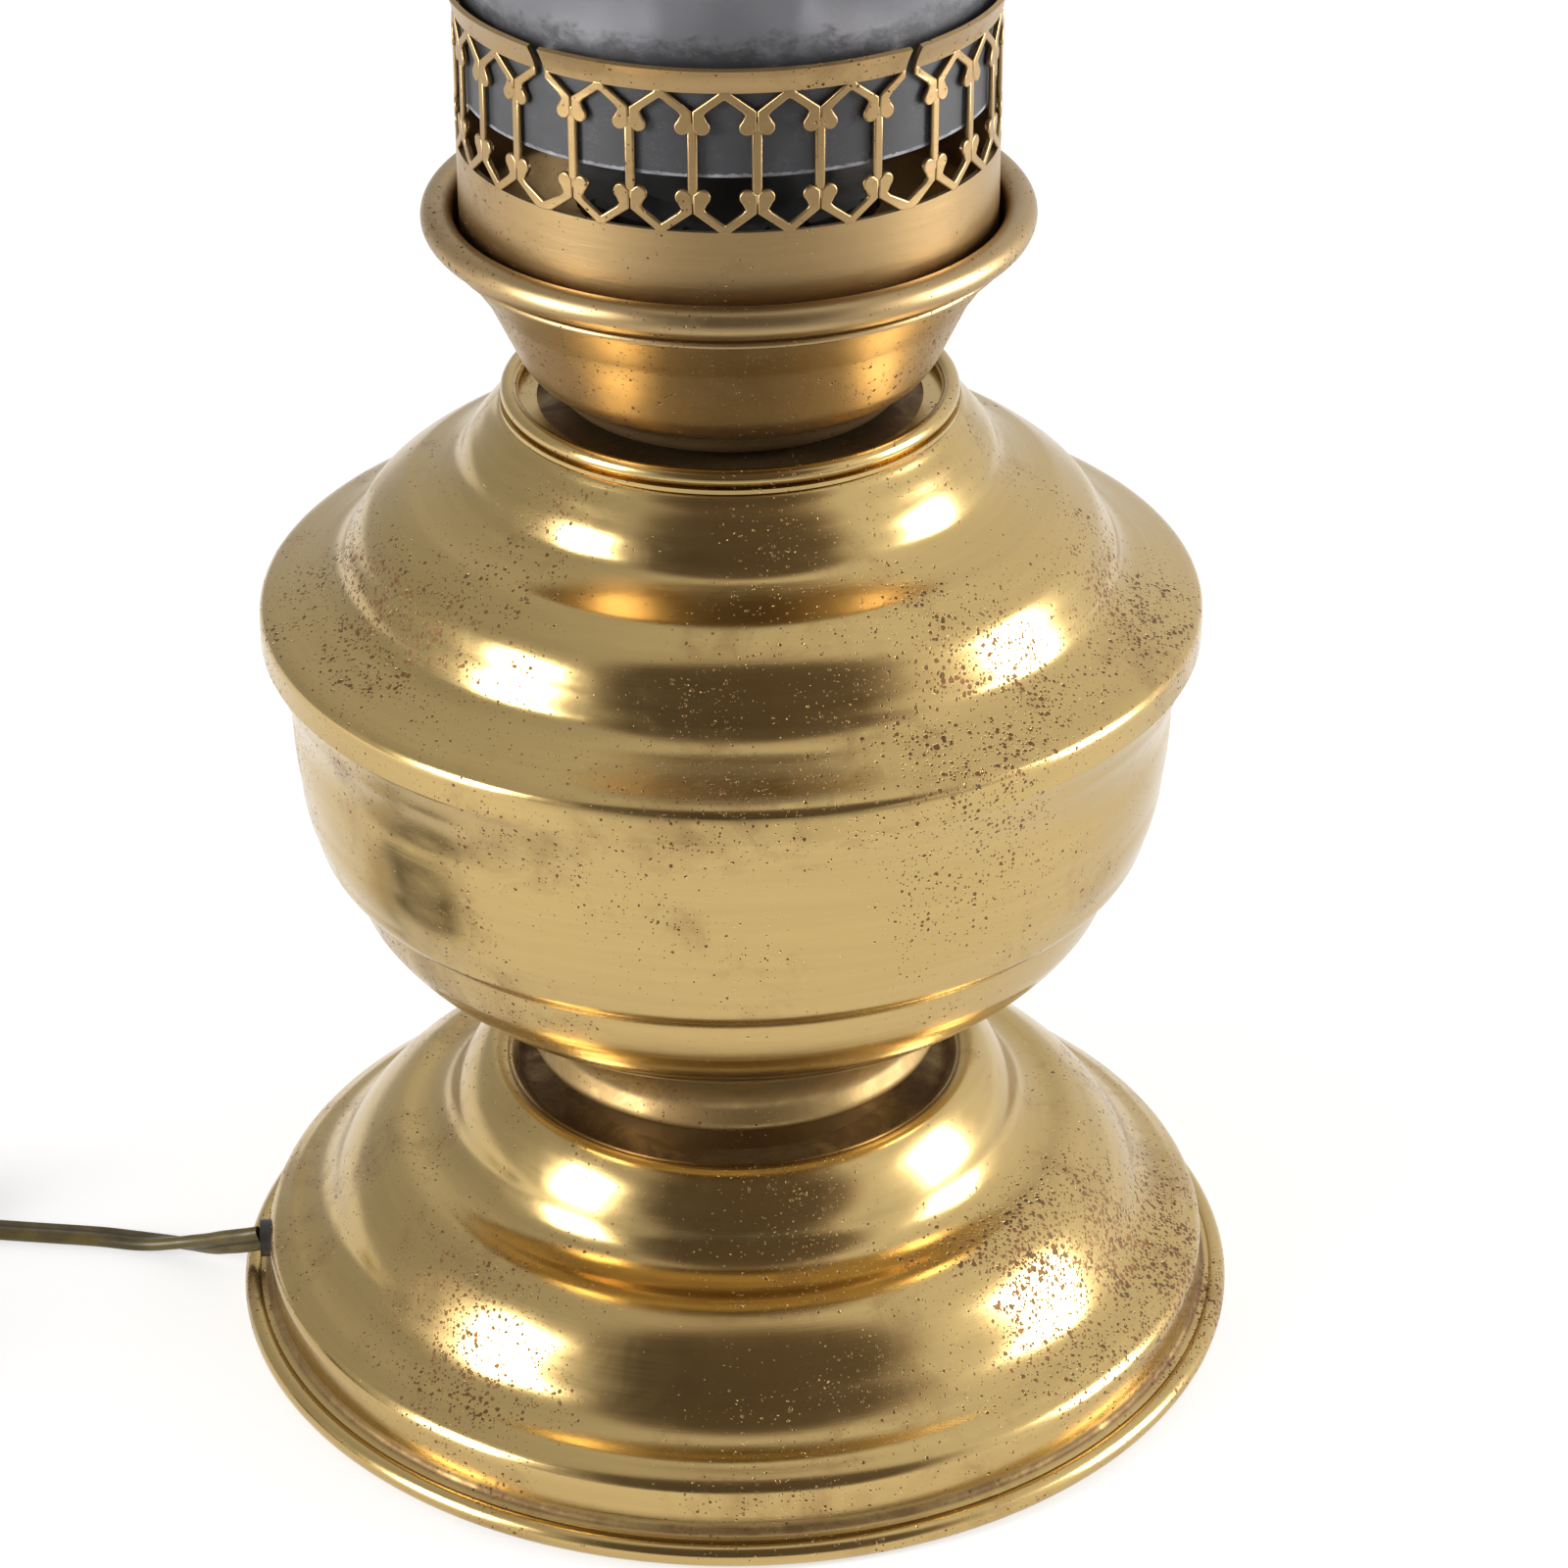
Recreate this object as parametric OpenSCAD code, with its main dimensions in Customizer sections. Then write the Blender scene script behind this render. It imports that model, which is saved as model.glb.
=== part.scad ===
// Electrified brass oil lamp: a spun foot and font on a hollow rod, a burner cup with an
// openwork gallery, a lampholder with a bulb, a lift-out glass, and a flat twin flex.
// Millimetres, +Z up, origin on the floor under the middle of the foot.

/* [Foot] */
// Radius of the foot over its rolled edge
foot_r = 102.5; // [100:0.5:105]
// Radius of the foot's rolled edge
foot_roll = 2.4; // [2:0.1:2.6]

/* [Font] */
// Largest radius of the bowl below its flare
bowl_r = 85.6; // [85:0.1:86.2]
// Radius of the turned-down skirt of the upper shell
skirt_r = 91.1; // [90.6:0.1:92]

/* [Burner cup and gallery] */
// Radius of the cup's rolled rim, to the middle of the roll
rim_r = 54.2; // [54:0.1:55]
// Radius of the cup's roll
rim_roll = 3; // [2.6:0.1:3.1]
// Outer radius of the gallery's plain band
gallery_r = 50.1; // [49.9:0.1:50.2]

/* [Glass] */
// Outer radius of the glass's straight collar
glass_r = 48.8; // [48.4:0.1:48.8]
// Outer radius of the glass's belly
belly_r = 60; // [55:1:64]
// Height of the glass
glass_h = 230; // [200:5:260]

/* [Sheet and flex] */
// Thickness of the spun brass
sheet = 0.8; // [0.6:0.1:0.9]
// Width of the flat twin flex
flex_w = 5.4; // [5:0.1:5.6]
// Thickness of the flat twin flex
flex_t = 2.7; // [2.5:0.1:2.8]

/* [Hidden] */
$fn = 96;

// Levels of the stack on the rod
plate_z = 14.1;
plate_t = 2;
weight_h = 12;
foot_top = 51;
font_base = 59.5;
dome_top = 199.6;
cup_base = 202;
rim_z = 237.8;
pan_base = 209.5;
holder_base = 213.5;
glass_z = 262.9;
rod_r = 5;
rod_bore = 4;
rod_z = [6.5, 224];
rod_hole = 5.3;

// Gallery: bottom and top of the open work, top of the band
open_z = [253.1, 278.8];
gallery_top = 283.2;
gallery_wall = 0.9;
band_flare = 1.5;

// Lampholder and bulb
holder_r = 19.6;
holder_split = holder_base + 18.4;
holder_top = holder_base + 54.4;
shade_ring_z = [holder_base + 25.9, holder_base + 31.9];
shade_ring_r = 28.5;
socket_r = 13.5;
socket_z = holder_base + 24.8;
bulb_z = holder_base + 28.4;
bulb_cap_r = 13.1;
bulb_r = 29.5;
bulb_top = bulb_z + 107;

// Where the flex leaves the foot: height, and angle round the axis
exit_z = 10.6;
exit_angle = 183.7;
bush_r = 3.9;
bush_bore = 3.1;
bush_face = foot_r - 3.6;

// The flex outside the foot, on the floor
switch_x = [-232, -174];
switch_y = 10;
switch_flex_z = 4.5;
coil_at = [-216, -56];
coil_r = [21.6, 42];
coil_z = [0.7, 10];
plug_at = [-210, -28];
plug_z = 17;
// From the bush to the switch
route_to_switch = [
    [-98.7, -6.4, 10.6], [-101, -5.9, 9.8], [-104, -4.6, 8.5], [-107, -3, 7.1],
    [-110, -1.2, 5.5], [-114, 1.1, 4], [-118.5, 2.9, 2.9], [-122.5, 4.3, 2.1],
    [-127, 5.6, 1.6], [-134.5, 7.3, 1.4], [-145.5, 8.6, 1.4], [-155, 9.7, 1.4],
    [-161, 10, 1.9], [-167, 10, 3.3], [-174, 10, 4.5]
];
// From the switch to the coil
route_to_coil = [
    [-232, 10, 4.5], [-237, 9.8, 4], [-242, 8.4, 3.1], [-247, 5.2, 2.4],
    [-251, 0.6, 2.1], [-253.8, -5, 2.1], [-255, -12, 2.1], [-255.4, -22, 2.1],
    [-255.4, -34, 2.1], [-255.1, -46, 2.1]
];
// From the coil's inner turn over its top to the plug
route_to_plug = [
    [-216, -81.5, 8.2], [-207.5, -80, 8.9], [-200, -76, 10], [-194.5, -69, 11.2],
    [-191.8, -60, 12.2], [-191.5, -50, 13.6], [-193.6, -41, 15.4], [-198, -34, 16.6],
    [-204, -29.5, 17], [-210, -28, 17]
];
// Inside the lamp, from the terminals down the rod and out through the bush
route_inside = [
    [0, 0, 227], [0, 0, 150], [0, 0, 70], [0, 0, 12], [-1.6, -0.1, 5.6], [-6, -0.4, 3.6],
    [-14, -0.9, 3.4], [-40, -2.6, 4.4], [-66, -4.2, 7], [-82, -5.3, 9.6],
    [-91, -5.9, 10.6], [-98.7, -6.4, 10.6]
];

brass = [0.72, 0.6, 0.34];
dull_brass = [0.62, 0.52, 0.33];
steel = [0.6, 0.6, 0.6];
black = [0.06, 0.06, 0.06];
flex_green = [0.36, 0.32, 0.1];

// ---- Outlines ----

// Points of an arc from a towards b, without b. bulge is the arc's height over half its
// chord, positive to the right of travel, which is outwards on a wall that rises.
function turned(v, angle) = [v[0] * cos(angle) - v[1] * sin(angle), v[0] * sin(angle) + v[1] * cos(angle)];
function arc(a, b, bulge, n) =
    let (
        chord = norm(b - a),
        sweep = 4 * atan(bulge),
        radius = chord / 2 / sin(sweep / 2),
        left = [a[1] - b[1], b[0] - a[0]] / chord,
        centre = (a + b) / 2 + left * radius * cos(sweep / 2)
    )
    [for (i = [0 : n - 1]) centre + turned(a - centre, sweep * i / n)];

// An outline of [r, z, bulge of the stretch that follows] as points
function outline(stops, n = 7) = [
    for (i = [0 : len(stops) - 1])
        let (p = [stops[i][0], stops[i][1]])
        if (i == len(stops) - 1 || stops[i][2] == 0) p
        else each arc(p, [stops[i + 1][0], stops[i + 1][1]], stops[i][2], n)
];

// The same line moved t to its left, which is the inner face of a spun sheet
function unit(v) = v / norm(v);
function inner_face(p, t) = [
    for (i = [0 : len(p) - 1])
        let (
            before = unit(p[max(i, 1)] - p[max(i, 1) - 1]),
            after = unit(p[min(i + 1, len(p) - 1)] - p[min(i, len(p) - 2)]),
            way = unit(before + after),
            miter = max(0.6, way * after)
        )
        p[i] + [-way[1], way[0]] * t / miter
];

// A sheet spun to an outline
module spun(stops, n = 7, t = sheet) {
    outer = outline(stops, n);
    inner = inner_face(outer, t);
    polygon(concat(outer, [for (i = [len(inner) - 1 : -1 : 0]) inner[i]]));
}

// A rolled edge: a curled tube of sheet, open by a slit at an angle
module curl(r, slit) {
    difference() {
        circle(r, $fn = 48);
        circle(r - sheet, $fn = 48);
        rotate(slit)
            translate([0, -0.15])
                square([r + 1, 0.3]);
    }
}

module ring(r_in, r_out, z0, z1) {
    rotate_extrude()
        translate([r_in, z0])
            square([r_out - r_in, z1 - z0]);
}

module hex(across, z0, z1, bore) {
    difference() {
        translate([0, 0, z0])
            cylinder(r = across / sqrt(3), h = z1 - z0, $fn = 6);
        translate([0, 0, z0 - 1])
            cylinder(r = bore, h = z1 - z0 + 2);
    }
}

// Out through the foot's wall along the flex's way out
module along_exit() {
    rotate(exit_angle)
        translate([0, 0, exit_z])
            rotate([0, 90, 0])
                children();
}

// ---- The flex: a flat section swept along a route by functions ----
flex_sides = 8;
function flex_section(i) =
    let (a = 360 * (i + 0.5) / flex_sides)
    [flex_w / 2 * cos(a) / cos(22.5), flex_t / 2 * sin(a) / cos(22.5)];
function heading(route, i) = unit(route[min(i + 1, len(route) - 1)] - route[max(i - 1, 0)]);
function sideways(way) = abs(way[2]) > 0.9 ? [0, 1, 0] : unit(cross([0, 0, 1], way));
function flex_ring(route, i) =
    let (
        way = heading(route, i),
        side = unit(sideways(way) - (sideways(way) * way) * way),
        up = cross(way, side)
    )
    [for (k = [0 : flex_sides - 1])
        let (s = flex_section(k))
        route[i] + side * s[0] + up * s[1]];

module flex_along(route) {
    n = len(route);
    m = flex_sides;
    points = [for (i = [0 : n - 1]) each flex_ring(route, i)];
    walls = [for (i = [0 : n - 2]) for (k = [0 : m - 1])
        let (next = (k + 1) % m)
        each [
            [i * m + k, (i + 1) * m + k, (i + 1) * m + next],
            [i * m + k, (i + 1) * m + next, i * m + next]
        ]];
    ends = [[for (k = [0 : m - 1]) k], [for (k = [m - 1 : -1 : 0]) (n - 1) * m + k]];
    polyhedron(points = points, faces = concat(ends, walls), convexity = 6);
}

// ---- Foot ----
foot_wall = foot_r - 5.6;
foot_stops = [
    [foot_r - 3.1, 4.4, 0],
    [foot_wall + 0.2, 5.2, 0],
    [foot_wall, 6.4, 0],
    [foot_wall, 12.4, 0.36],
    [94.6, 16.3, 0],
    [92.2, 18, -0.22],
    [82.5, 25.3, 0.17],
    [70.5, 38.2, 0.15],
    [66, 38.8, -0.3],
    [57.2, 44.9, 0.16],
    [49.4, 56.4, 0.15],
    [45.6, 55.4, 0],
    [43, foot_top + sheet, 0],
    [rod_hole, foot_top + sheet, 0]
];

module foot_shell() {
    color(brass)
        difference() {
            rotate_extrude() {
                spun(foot_stops);
                translate([foot_r - foot_roll, foot_roll])
                    curl(foot_roll, 200);
                translate([foot_wall, 6.2])
                    circle(0.7, $fn = 24);
            }
            along_exit()
                translate([0, 0, foot_wall - 6])
                    cylinder(r = bush_r, h = 12);
        }
}

module cord_bush() {
    color(black)
        along_exit()
            difference() {
                union() {
                    translate([0, 0, foot_wall - 5])
                        cylinder(r = bush_r, h = bush_face - foot_wall + 5);
                    translate([0, 0, foot_wall - 5])
                        cylinder(r = bush_r + 0.8, h = 1.5);
                }
                translate([0, 0, foot_wall - 6])
                    cylinder(r = bush_bore, h = 12);
            }
}

module base_board() {
    color("darkgreen")
        cylinder(r = foot_wall, h = 1.6);
}

// The steel plate that closes the foot, notched for the bush
plate_r = 93.4;
notch = [20, 13];
module base_plate() {
    color(steel)
        difference() {
            ring(rod_hole, plate_r, plate_z, plate_z + plate_t);
            rotate(exit_angle)
                translate([plate_r - 6, -notch[1] / 2, plate_z - 1])
                    cube([notch[0], notch[1], plate_t + 2]);
        }
}

module foot_weight() {
    color(steel)
        ring(rod_hole, 62, plate_z + plate_t, plate_z + plate_t + weight_h);
}

module base_washer() {
    color(steel)
        ring(rod_hole, 11, plate_z - 1.2, plate_z);
}

module base_nut() {
    color(steel)
        hex(14, plate_z - 6.2, plate_z - 1.2, rod_r);
}

module central_rod() {
    color(steel)
        ring(rod_bore, rod_r, rod_z[0], rod_z[1]);
}

// A block that clamps the flex under the base plate, with its two screws
grip_x = -52;
grip_gap = [11, 4];
module cord_grip() {
    color("ivory")
        difference() {
            translate([grip_x - 5, -14.4, 3])
                cube([10, 22, plate_z - 3]);
            translate([grip_x - 6, -3.4 - grip_gap[0] / 2, 3.8])
                cube([12, grip_gap[0], grip_gap[1]]);
            for (side = [-1, 1])
                translate([grip_x, -3.4 + side * 8, 2])
                    cylinder(r = 1.5, h = 20);
        }
}

module cord_grip_screws() {
    color(steel)
        for (side = [-1, 1])
            translate([grip_x, -3.4 + side * 8, 0])
                union() {
                    translate([0, 0, 2.2])
                        cylinder(r = 2.6, h = 0.8);
                    translate([0, 0, 3])
                        cylinder(r = 1.5, h = plate_z - 3);
                }
}

module neck_spacer() {
    color(dull_brass)
        ring(rod_hole, 35, foot_top + sheet, font_base);
}

// ---- Font ----
bowl_edge = skirt_r - sheet - 0.1;
bowl_stops = [
    [rod_hole, font_base, 0],
    [40.6, font_base, 0.5],
    [41, 62, 0],
    [39.6, 64.5, -0.12],
    [41, 70, -0.14],
    [50, 78, -0.05],
    [57, 82, 0.1],
    [66, 88.2, 0.1],
    [74.5, 97.8, 0.04],
    [77.6, 107.3, 0],
    [81.4, 110.2, 0.1],
    [82.8, 114, 0.08],
    [bowl_r - 0.7, 124, 0.04],
    [bowl_r + 0.4, 138, -0.08],
    [88.2, 147, -0.06],
    [bowl_edge, 152.6, 0],
    [bowl_edge, 158.6, 0]
];

module font_bowl() {
    color(brass)
        rotate_extrude()
            spun(bowl_stops);
}

dome_stops = [
    [skirt_r, 153.3, 0],
    [skirt_r, 158.4, 0.3],
    [skirt_r - 0.9, 160, 0.05],
    [87, 161.4, -0.03],
    [80, 164.2, -0.16],
    [74.8, 168, 0.12],
    [72.2, 173, 0.1],
    [69, 177.6, 0.04],
    [62, 182.6, -0.08],
    [54.2, 186, -0.2],
    [51, 189.6, 0.1],
    [48.2, 194, 0.05],
    [45.3, 197.4, -0.1],
    [43.8, dome_top, 0],
    [rod_hole, dome_top, 0]
];

module font_dome() {
    color(brass)
        rotate_extrude()
            spun(dome_stops);
}

module collar_ring() {
    color(brass)
        rotate_extrude() {
            translate([36.6, dome_top])
                square([7.2, 0.8]);
            translate([41.8, dome_top + 2.3])
                circle(1.7, $fn = 32);
        }
}

module cup_washer() {
    color(steel)
        ring(rod_hole, 20, dome_top, cup_base);
}

// ---- Burner cup ----
cup_stops = [
    [rod_hole, cup_base, 0],
    [31, cup_base, 0.16],
    [34, 205.5, 0],
    [38, 208.3, 0.06],
    [40.2, 211.5, 0],
    [46, 223.8, 0.04],
    [rim_r - rim_roll + sheet, 233.2, 0],
    [rim_r - rim_roll + sheet, rim_z, 0]
];

module burner_cup() {
    color(dull_brass)
        rotate_extrude() {
            spun(cup_stops);
            translate([rim_r, rim_z])
                curl(rim_roll, 262);
            translate([52.1, 232.6])
                circle(0.8, $fn = 24);
        }
}

module gallery_spacer() {
    color(steel)
        ring(rod_hole, 9, cup_base + sheet, pan_base);
}

// ---- Gallery ----
// The open work is a zigzag under the band and one over the wall, tied by a bar at each
// corner. Four slits split the band into sections, so that it springs on the glass.
// Degrees from bar to bar, and across a slit
pitch_turn = 12.975;
slit_turn = 15.385;
// Bars in each section
sections = [6, 7, 7, 7];
first_slit = 229.8;
bar_w = 1.6;
// Rise of the zigzag over its run, and its heights from the band's edge
slope = 0.723;
triangle_h = 3.4;
strut_h = 1.9;
peak_h = 1.3;
curl_r = 1.27;
curl_at = [1.7, 6.4];
open_h = open_z[1] - open_z[0];

function summed(v, n) = n == 0 ? 0 : v[n - 1] + summed(v, n - 1);
function slit_angle(k) = first_slit + summed(sections, k) * pitch_turn + k * (slit_turn - pitch_turn);
function bar_angle(k, i) = slit_angle(k) + slit_turn / 2 + i * pitch_turn;
function half_width(turn) = gallery_r * turn * PI / 360;

// One opening between two bars, x along the band and z up
module window(turn) {
    half = half_width(turn);
    x1 = half - bar_w / 2;
    flat = half - half_width(pitch_turn) + 0.2;
    low = triangle_h + strut_h - slope * bar_w / 2;
    difference() {
        polygon([
            [-x1, low], [-0.2, peak_h], [0.2, peak_h], [x1, low],
            [x1, open_h - low], [flat, open_h - peak_h], [-flat, open_h - peak_h],
            [-x1, open_h - low]
        ]);
        for (side = [-1, 1])
            for (z = [curl_at[1], open_h - curl_at[1]])
                translate([side * (half - curl_at[0]), z])
                    circle(curl_r, $fn = 24);
    }
}

// The triangle between a zigzag and its band, at each bar
module triangle() {
    reach = triangle_h / slope;
    polygon([[-reach, 0], [reach, 0], [0, triangle_h]]);
}

module through_band(angle) {
    rotate([0, 0, angle])
        translate([0, 0, open_z[0]])
            rotate([90, 0, 90])
                translate([0, 0, gallery_r - 5])
                    linear_extrude(height = 10)
                        children();
}

pan_stops = [
    [rod_hole, pan_base, 0],
    [27, pan_base, 0.1],
    [34.6, 212.4, 0.08],
    [44, 222.4, 0.08],
    [gallery_r, 236, 0],
    [gallery_r, open_z[1] + 0.6, 0],
    [gallery_r + 0.2, 280.4, 0],
    [gallery_r + band_flare, gallery_top, 0]
];
slit_w = 2.2;
// Width and thickness of the tabs under the glass
rest_w = 1.2;
rest_t = 0.8;

module gallery() {
    color(dull_brass)
        difference() {
            rotate_extrude()
                spun(pan_stops, 6, gallery_wall);
            for (k = [0 : 3]) {
                through_band(slit_angle(k))
                    window(slit_turn);
                through_band(slit_angle(k))
                    translate([-slit_w / 2, open_h - strut_h])
                        square([slit_w, 20]);
                for (i = [0 : sections[k] - 2])
                    through_band(bar_angle(k, i + 0.5))
                        window(pitch_turn);
                for (i = [0 : sections[k] - 1])
                    through_band(bar_angle(k, i)) {
                        triangle();
                        translate([0, open_h])
                            mirror([0, 1])
                                triangle();
                    }
            }
        }
    // Three tabs bent in behind bars carry the glass
    color(dull_brass)
        for (k = [1 : 3])
            rotate(bar_angle(k, 3))
                translate([gallery_r - 4.4, -rest_w / 2, glass_z - 0.1 - rest_t])
                    cube([3.9, rest_w, rest_t]);
}

module lock_nut() {
    color(steel)
        hex(14, pan_base + gallery_wall, holder_base, rod_r);
}

// ---- Lampholder ----
holder_wall = 2.2;
module holder_cap() {
    inside = holder_base + 7.5;
    color(black)
        rotate_extrude()
            polygon([
                [rod_r, holder_base], [11, holder_base], [11.6, holder_base + 3.4],
                [17, inside], [holder_r, holder_base + 12.4], [holder_r, holder_split],
                [holder_r - holder_wall, holder_split], [holder_r - holder_wall, holder_base + 13.4],
                [15, inside + 2.6], [9.5, inside], [rod_r, inside]
            ]);
}

module holder_body() {
    color(black)
        rotate_extrude()
            polygon([
                [holder_r - holder_wall, holder_split], [holder_r, holder_split],
                [holder_r, holder_top - 8], [holder_r - 1.4, holder_top - 7],
                [holder_r - 1.4, holder_top - 1], [holder_r - 2, holder_top],
                [15, holder_top], [15, holder_top - 2], [holder_r - holder_wall, holder_top - 4]
            ]);
}

module shade_ring() {
    color(black)
        difference() {
            rotate_extrude()
                polygon([
                    [holder_r, shade_ring_z[0]], [shade_ring_r - 1, shade_ring_z[0]],
                    [shade_ring_r, shade_ring_z[0] + 1], [shade_ring_r, shade_ring_z[1] - 1],
                    [shade_ring_r - 1, shade_ring_z[1]], [holder_r, shade_ring_z[1]]
                ]);
            for (i = [0 : 23])
                rotate(i * 15)
                    translate([shade_ring_r + 0.5, 0, shade_ring_z[0] - 1])
                        cylinder(r = 1, h = 8, $fn = 24);
        }
}

module holder_insert() {
    color("ivory")
        difference() {
            union() {
                ring(8, holder_r - 2.4, holder_split, holder_split + 3);
                ring(8, socket_r + 0.9, holder_split + 3, socket_z);
            }
            for (side = [-1, 1])
                translate([side * 12, 0, holder_split - 1])
                    cylinder(r = 1.8, h = 6);
        }
}

module holder_shell() {
    color(brass)
        ring(socket_r, socket_r + 0.6, socket_z, holder_top - 6);
}

module holder_contact() {
    color(brass)
        union() {
            translate([-7, -3, holder_split + 1])
                cube([14, 6, 0.8]);
            translate([-1, -3, holder_split + 1.8])
                cube([0.8, 6, 8]);
            translate([-4, -3, socket_z + 2.75])
                cube([8, 6, 0.8]);
        }
}

module terminal_screws() {
    color(steel)
        for (side = [-1, 1])
            translate([side * 12, 0, holder_split - 3])
                union() {
                    cylinder(r = 2.6, h = 2.4);
                    cylinder(r = 1.8, h = 7);
                }
}

// ---- Bulb ----
module bulb_cap() {
    color("silver")
        rotate_extrude()
            polygon([
                [9, bulb_z + 2.4], [bulb_cap_r - 1.4, bulb_z + 3.2], [bulb_cap_r, bulb_z + 5.4],
                [bulb_cap_r, bulb_z + 24], [bulb_cap_r + 0.6, bulb_z + 26.4],
                [bulb_cap_r + 0.1, bulb_z + 26.4], [bulb_cap_r - 0.5, bulb_z + 24],
                [bulb_cap_r - 0.5, bulb_z + 5.6], [bulb_cap_r - 1.8, bulb_z + 3.8],
                [9, bulb_z + 3]
            ]);
}

module bulb_insulator() {
    color(black)
        rotate_extrude()
            polygon([[4.6, bulb_z + 0.6], [6, bulb_z + 0.6], [9, bulb_z + 2.4], [9, bulb_z + 3], [4.6, bulb_z + 3]]);
}

module bulb_contact() {
    color("silver")
        translate([0, 0, bulb_z])
            cylinder(r = 4.6, h = 1.6);
}

// Neck, shoulder and round head of a pear-shaped bulb
bulb_stops = [
    [12.4, bulb_z + 22, 0],
    [12.4, bulb_z + 28, 0],
    [13.6, bulb_z + 33, -0.1],
    [21.5, bulb_z + 54, 0.06],
    [27.3, bulb_z + 64, 0.1],
    [bulb_r, bulb_z + 75, 0.32],
    [16, bulb_top - 5.5, 0.2],
    [1, bulb_top, 0]
];
bulb_wall = 0.8;
bulb_inner = inner_face(outline(bulb_stops, 8), bulb_wall);

module bulb_glass() {
    color("white", 0.4)
        rotate_extrude()
            polygon(concat(
                outline(bulb_stops, 8),
                [[0, bulb_top], [0, bulb_top - bulb_wall]],
                [for (i = [len(bulb_inner) - 1 : -1 : 0]) bulb_inner[i]]
            ));
}

module bulb_stem() {
    color("white", 0.5)
        rotate_extrude()
            polygon([
                [0, bulb_z + 22], [11.4, bulb_z + 22], [11.4, bulb_z + 23.4], [6, bulb_z + 30],
                [3, bulb_z + 36], [2.4, bulb_z + 48], [0, bulb_z + 48]
            ]);
}

module bulb_filament() {
    color("orange")
        for (a = [45 : 90 : 315])
            rotate(a)
                translate([7, 0, bulb_z + 50])
                    cylinder(r = 0.9, h = 34, $fn = 24);
}

// ---- Glass ----
glass_wall = 2.6;
glass_stops = [
    [glass_r, glass_z, 0],
    [glass_r, glass_z + 40, -0.08],
    [glass_r + 5, glass_z + 62, 0.08],
    [belly_r, glass_z + 100, 0.12],
    [belly_r - 7, glass_z + 145, -0.1],
    [glass_r - 3.6, glass_z + glass_h - 22, -0.04],
    [glass_r - 4, glass_z + glass_h, 0]
];

module glass_chimney() {
    color("gray", 0.4)
        rotate_extrude()
            spun(glass_stops, 8, glass_wall);
}

// ---- The wiring inside the lamp ----
module inner_flex() {
    color(flex_green)
        flex_along(route_inside);
}

// ---- Flex, switch, coil and plug on the floor ----
module flex_to_switch() {
    color(flex_green)
        flex_along(route_to_switch);
}

switch_w = 24;
switch_h = 15;
switch_mid = (switch_x[0] + switch_x[1]) / 2;
switch_l = switch_x[1] - switch_x[0];
rocker_z = 12.6;
rocker_tilt = 7;

module switch_outline(grow) {
    hull()
        for (side = [-1, 1])
            translate([side * (switch_l / 2 - switch_w / 2), 0])
                circle(r = switch_w / 2 + grow, $fn = 32);
}

module switch_base() {
    color("ivory")
        difference() {
            translate([switch_mid, switch_y, 0])
                linear_extrude(height = 7)
                    switch_outline(0);
            translate([switch_mid, switch_y, 1.6])
                linear_extrude(height = 7)
                    switch_outline(-2);
            translate([switch_x[0] - 1, switch_y - 3, switch_flex_z - 1.7])
                cube([switch_l + 2, 6, 3.4]);
        }
}

module switch_cover() {
    color("ivory")
        difference() {
            translate([switch_mid, switch_y, 7])
                linear_extrude(height = switch_h - 7)
                    switch_outline(0);
            translate([switch_mid, switch_y, 6])
                linear_extrude(height = switch_h - 7 - 1)
                    switch_outline(-2);
            translate([switch_mid - 9, switch_y - 5, 6])
                cube([18, 10, 20]);
            for (side = [-1, 1])
                translate([switch_mid + side * 18, switch_y, 6])
                    cylinder(r = 1.6, h = 20);
        }
}

// The rocker stands tilted on its pin, with its cylinder bore clear of it
module switch_rocker() {
    color("ivory")
        translate([switch_mid, switch_y, rocker_z])
            rotate([0, rocker_tilt, 0])
                difference() {
                    translate([-8, -4.6, -2.6])
                        cube([16, 9.2, 5.2]);
                    rotate([90, 0, 0])
                        translate([0, 0, -10])
                            cylinder(r = 1.05, h = 20);
                    for (side = [-1, 1])
                        translate([side * 11.5, 0, 8.9])
                            rotate([90, 0, 0])
                                translate([0, 0, -10])
                                    cylinder(r = 7.6, h = 20);
                }
}

module switch_pivot() {
    color(steel)
        translate([switch_mid, switch_y, rocker_z])
            rotate([90, 0, 0])
                translate([0, 0, -5])
                    cylinder(r = 1, h = 10);
}

module switch_screws() {
    color(steel)
        for (side = [-1, 1])
            translate([switch_mid + side * 18, switch_y, 0])
                union() {
                    translate([0, 0, 12.6])
                        cylinder(r = 1.6, h = 1.6);
                    translate([0, 0, 1.6])
                        cylinder(r = 1, h = 12);
                }
}

module flex_to_coil() {
    color(flex_green)
        flex_along(route_to_coil);
}

module flex_coil() {
    color(flex_green)
        translate([coil_at[0], coil_at[1], 0])
            ring(coil_r[0], coil_r[1], coil_z[0], coil_z[1]);
}

tie_w = 8;
tie_t = 0.6;
module coil_tie() {
    color(black)
        translate([coil_at[0], coil_at[1], 0])
            rotate(215)
                difference() {
                    translate([coil_r[0] - 0.5 - tie_t, -tie_w / 2, 0])
                        cube([coil_r[1] - coil_r[0] + 0.8 + 2 * tie_t, tie_w, coil_z[1] + 0.1 + tie_t]);
                    translate([coil_r[0] - 0.5, -tie_w, tie_t])
                        cube([coil_r[1] - coil_r[0] + 0.8, 2 * tie_w, coil_z[1] + 0.1 - tie_t]);
                }
}

module flex_to_plug() {
    color(flex_green)
        flex_along(route_to_plug);
}

// Flat two-pin plug lying on the coil, its cord end at plug_at, its pins towards -X
plug_l = 35;
plug_w = 26;
plug_h = 13.6;
pin_r = 2;
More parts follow.
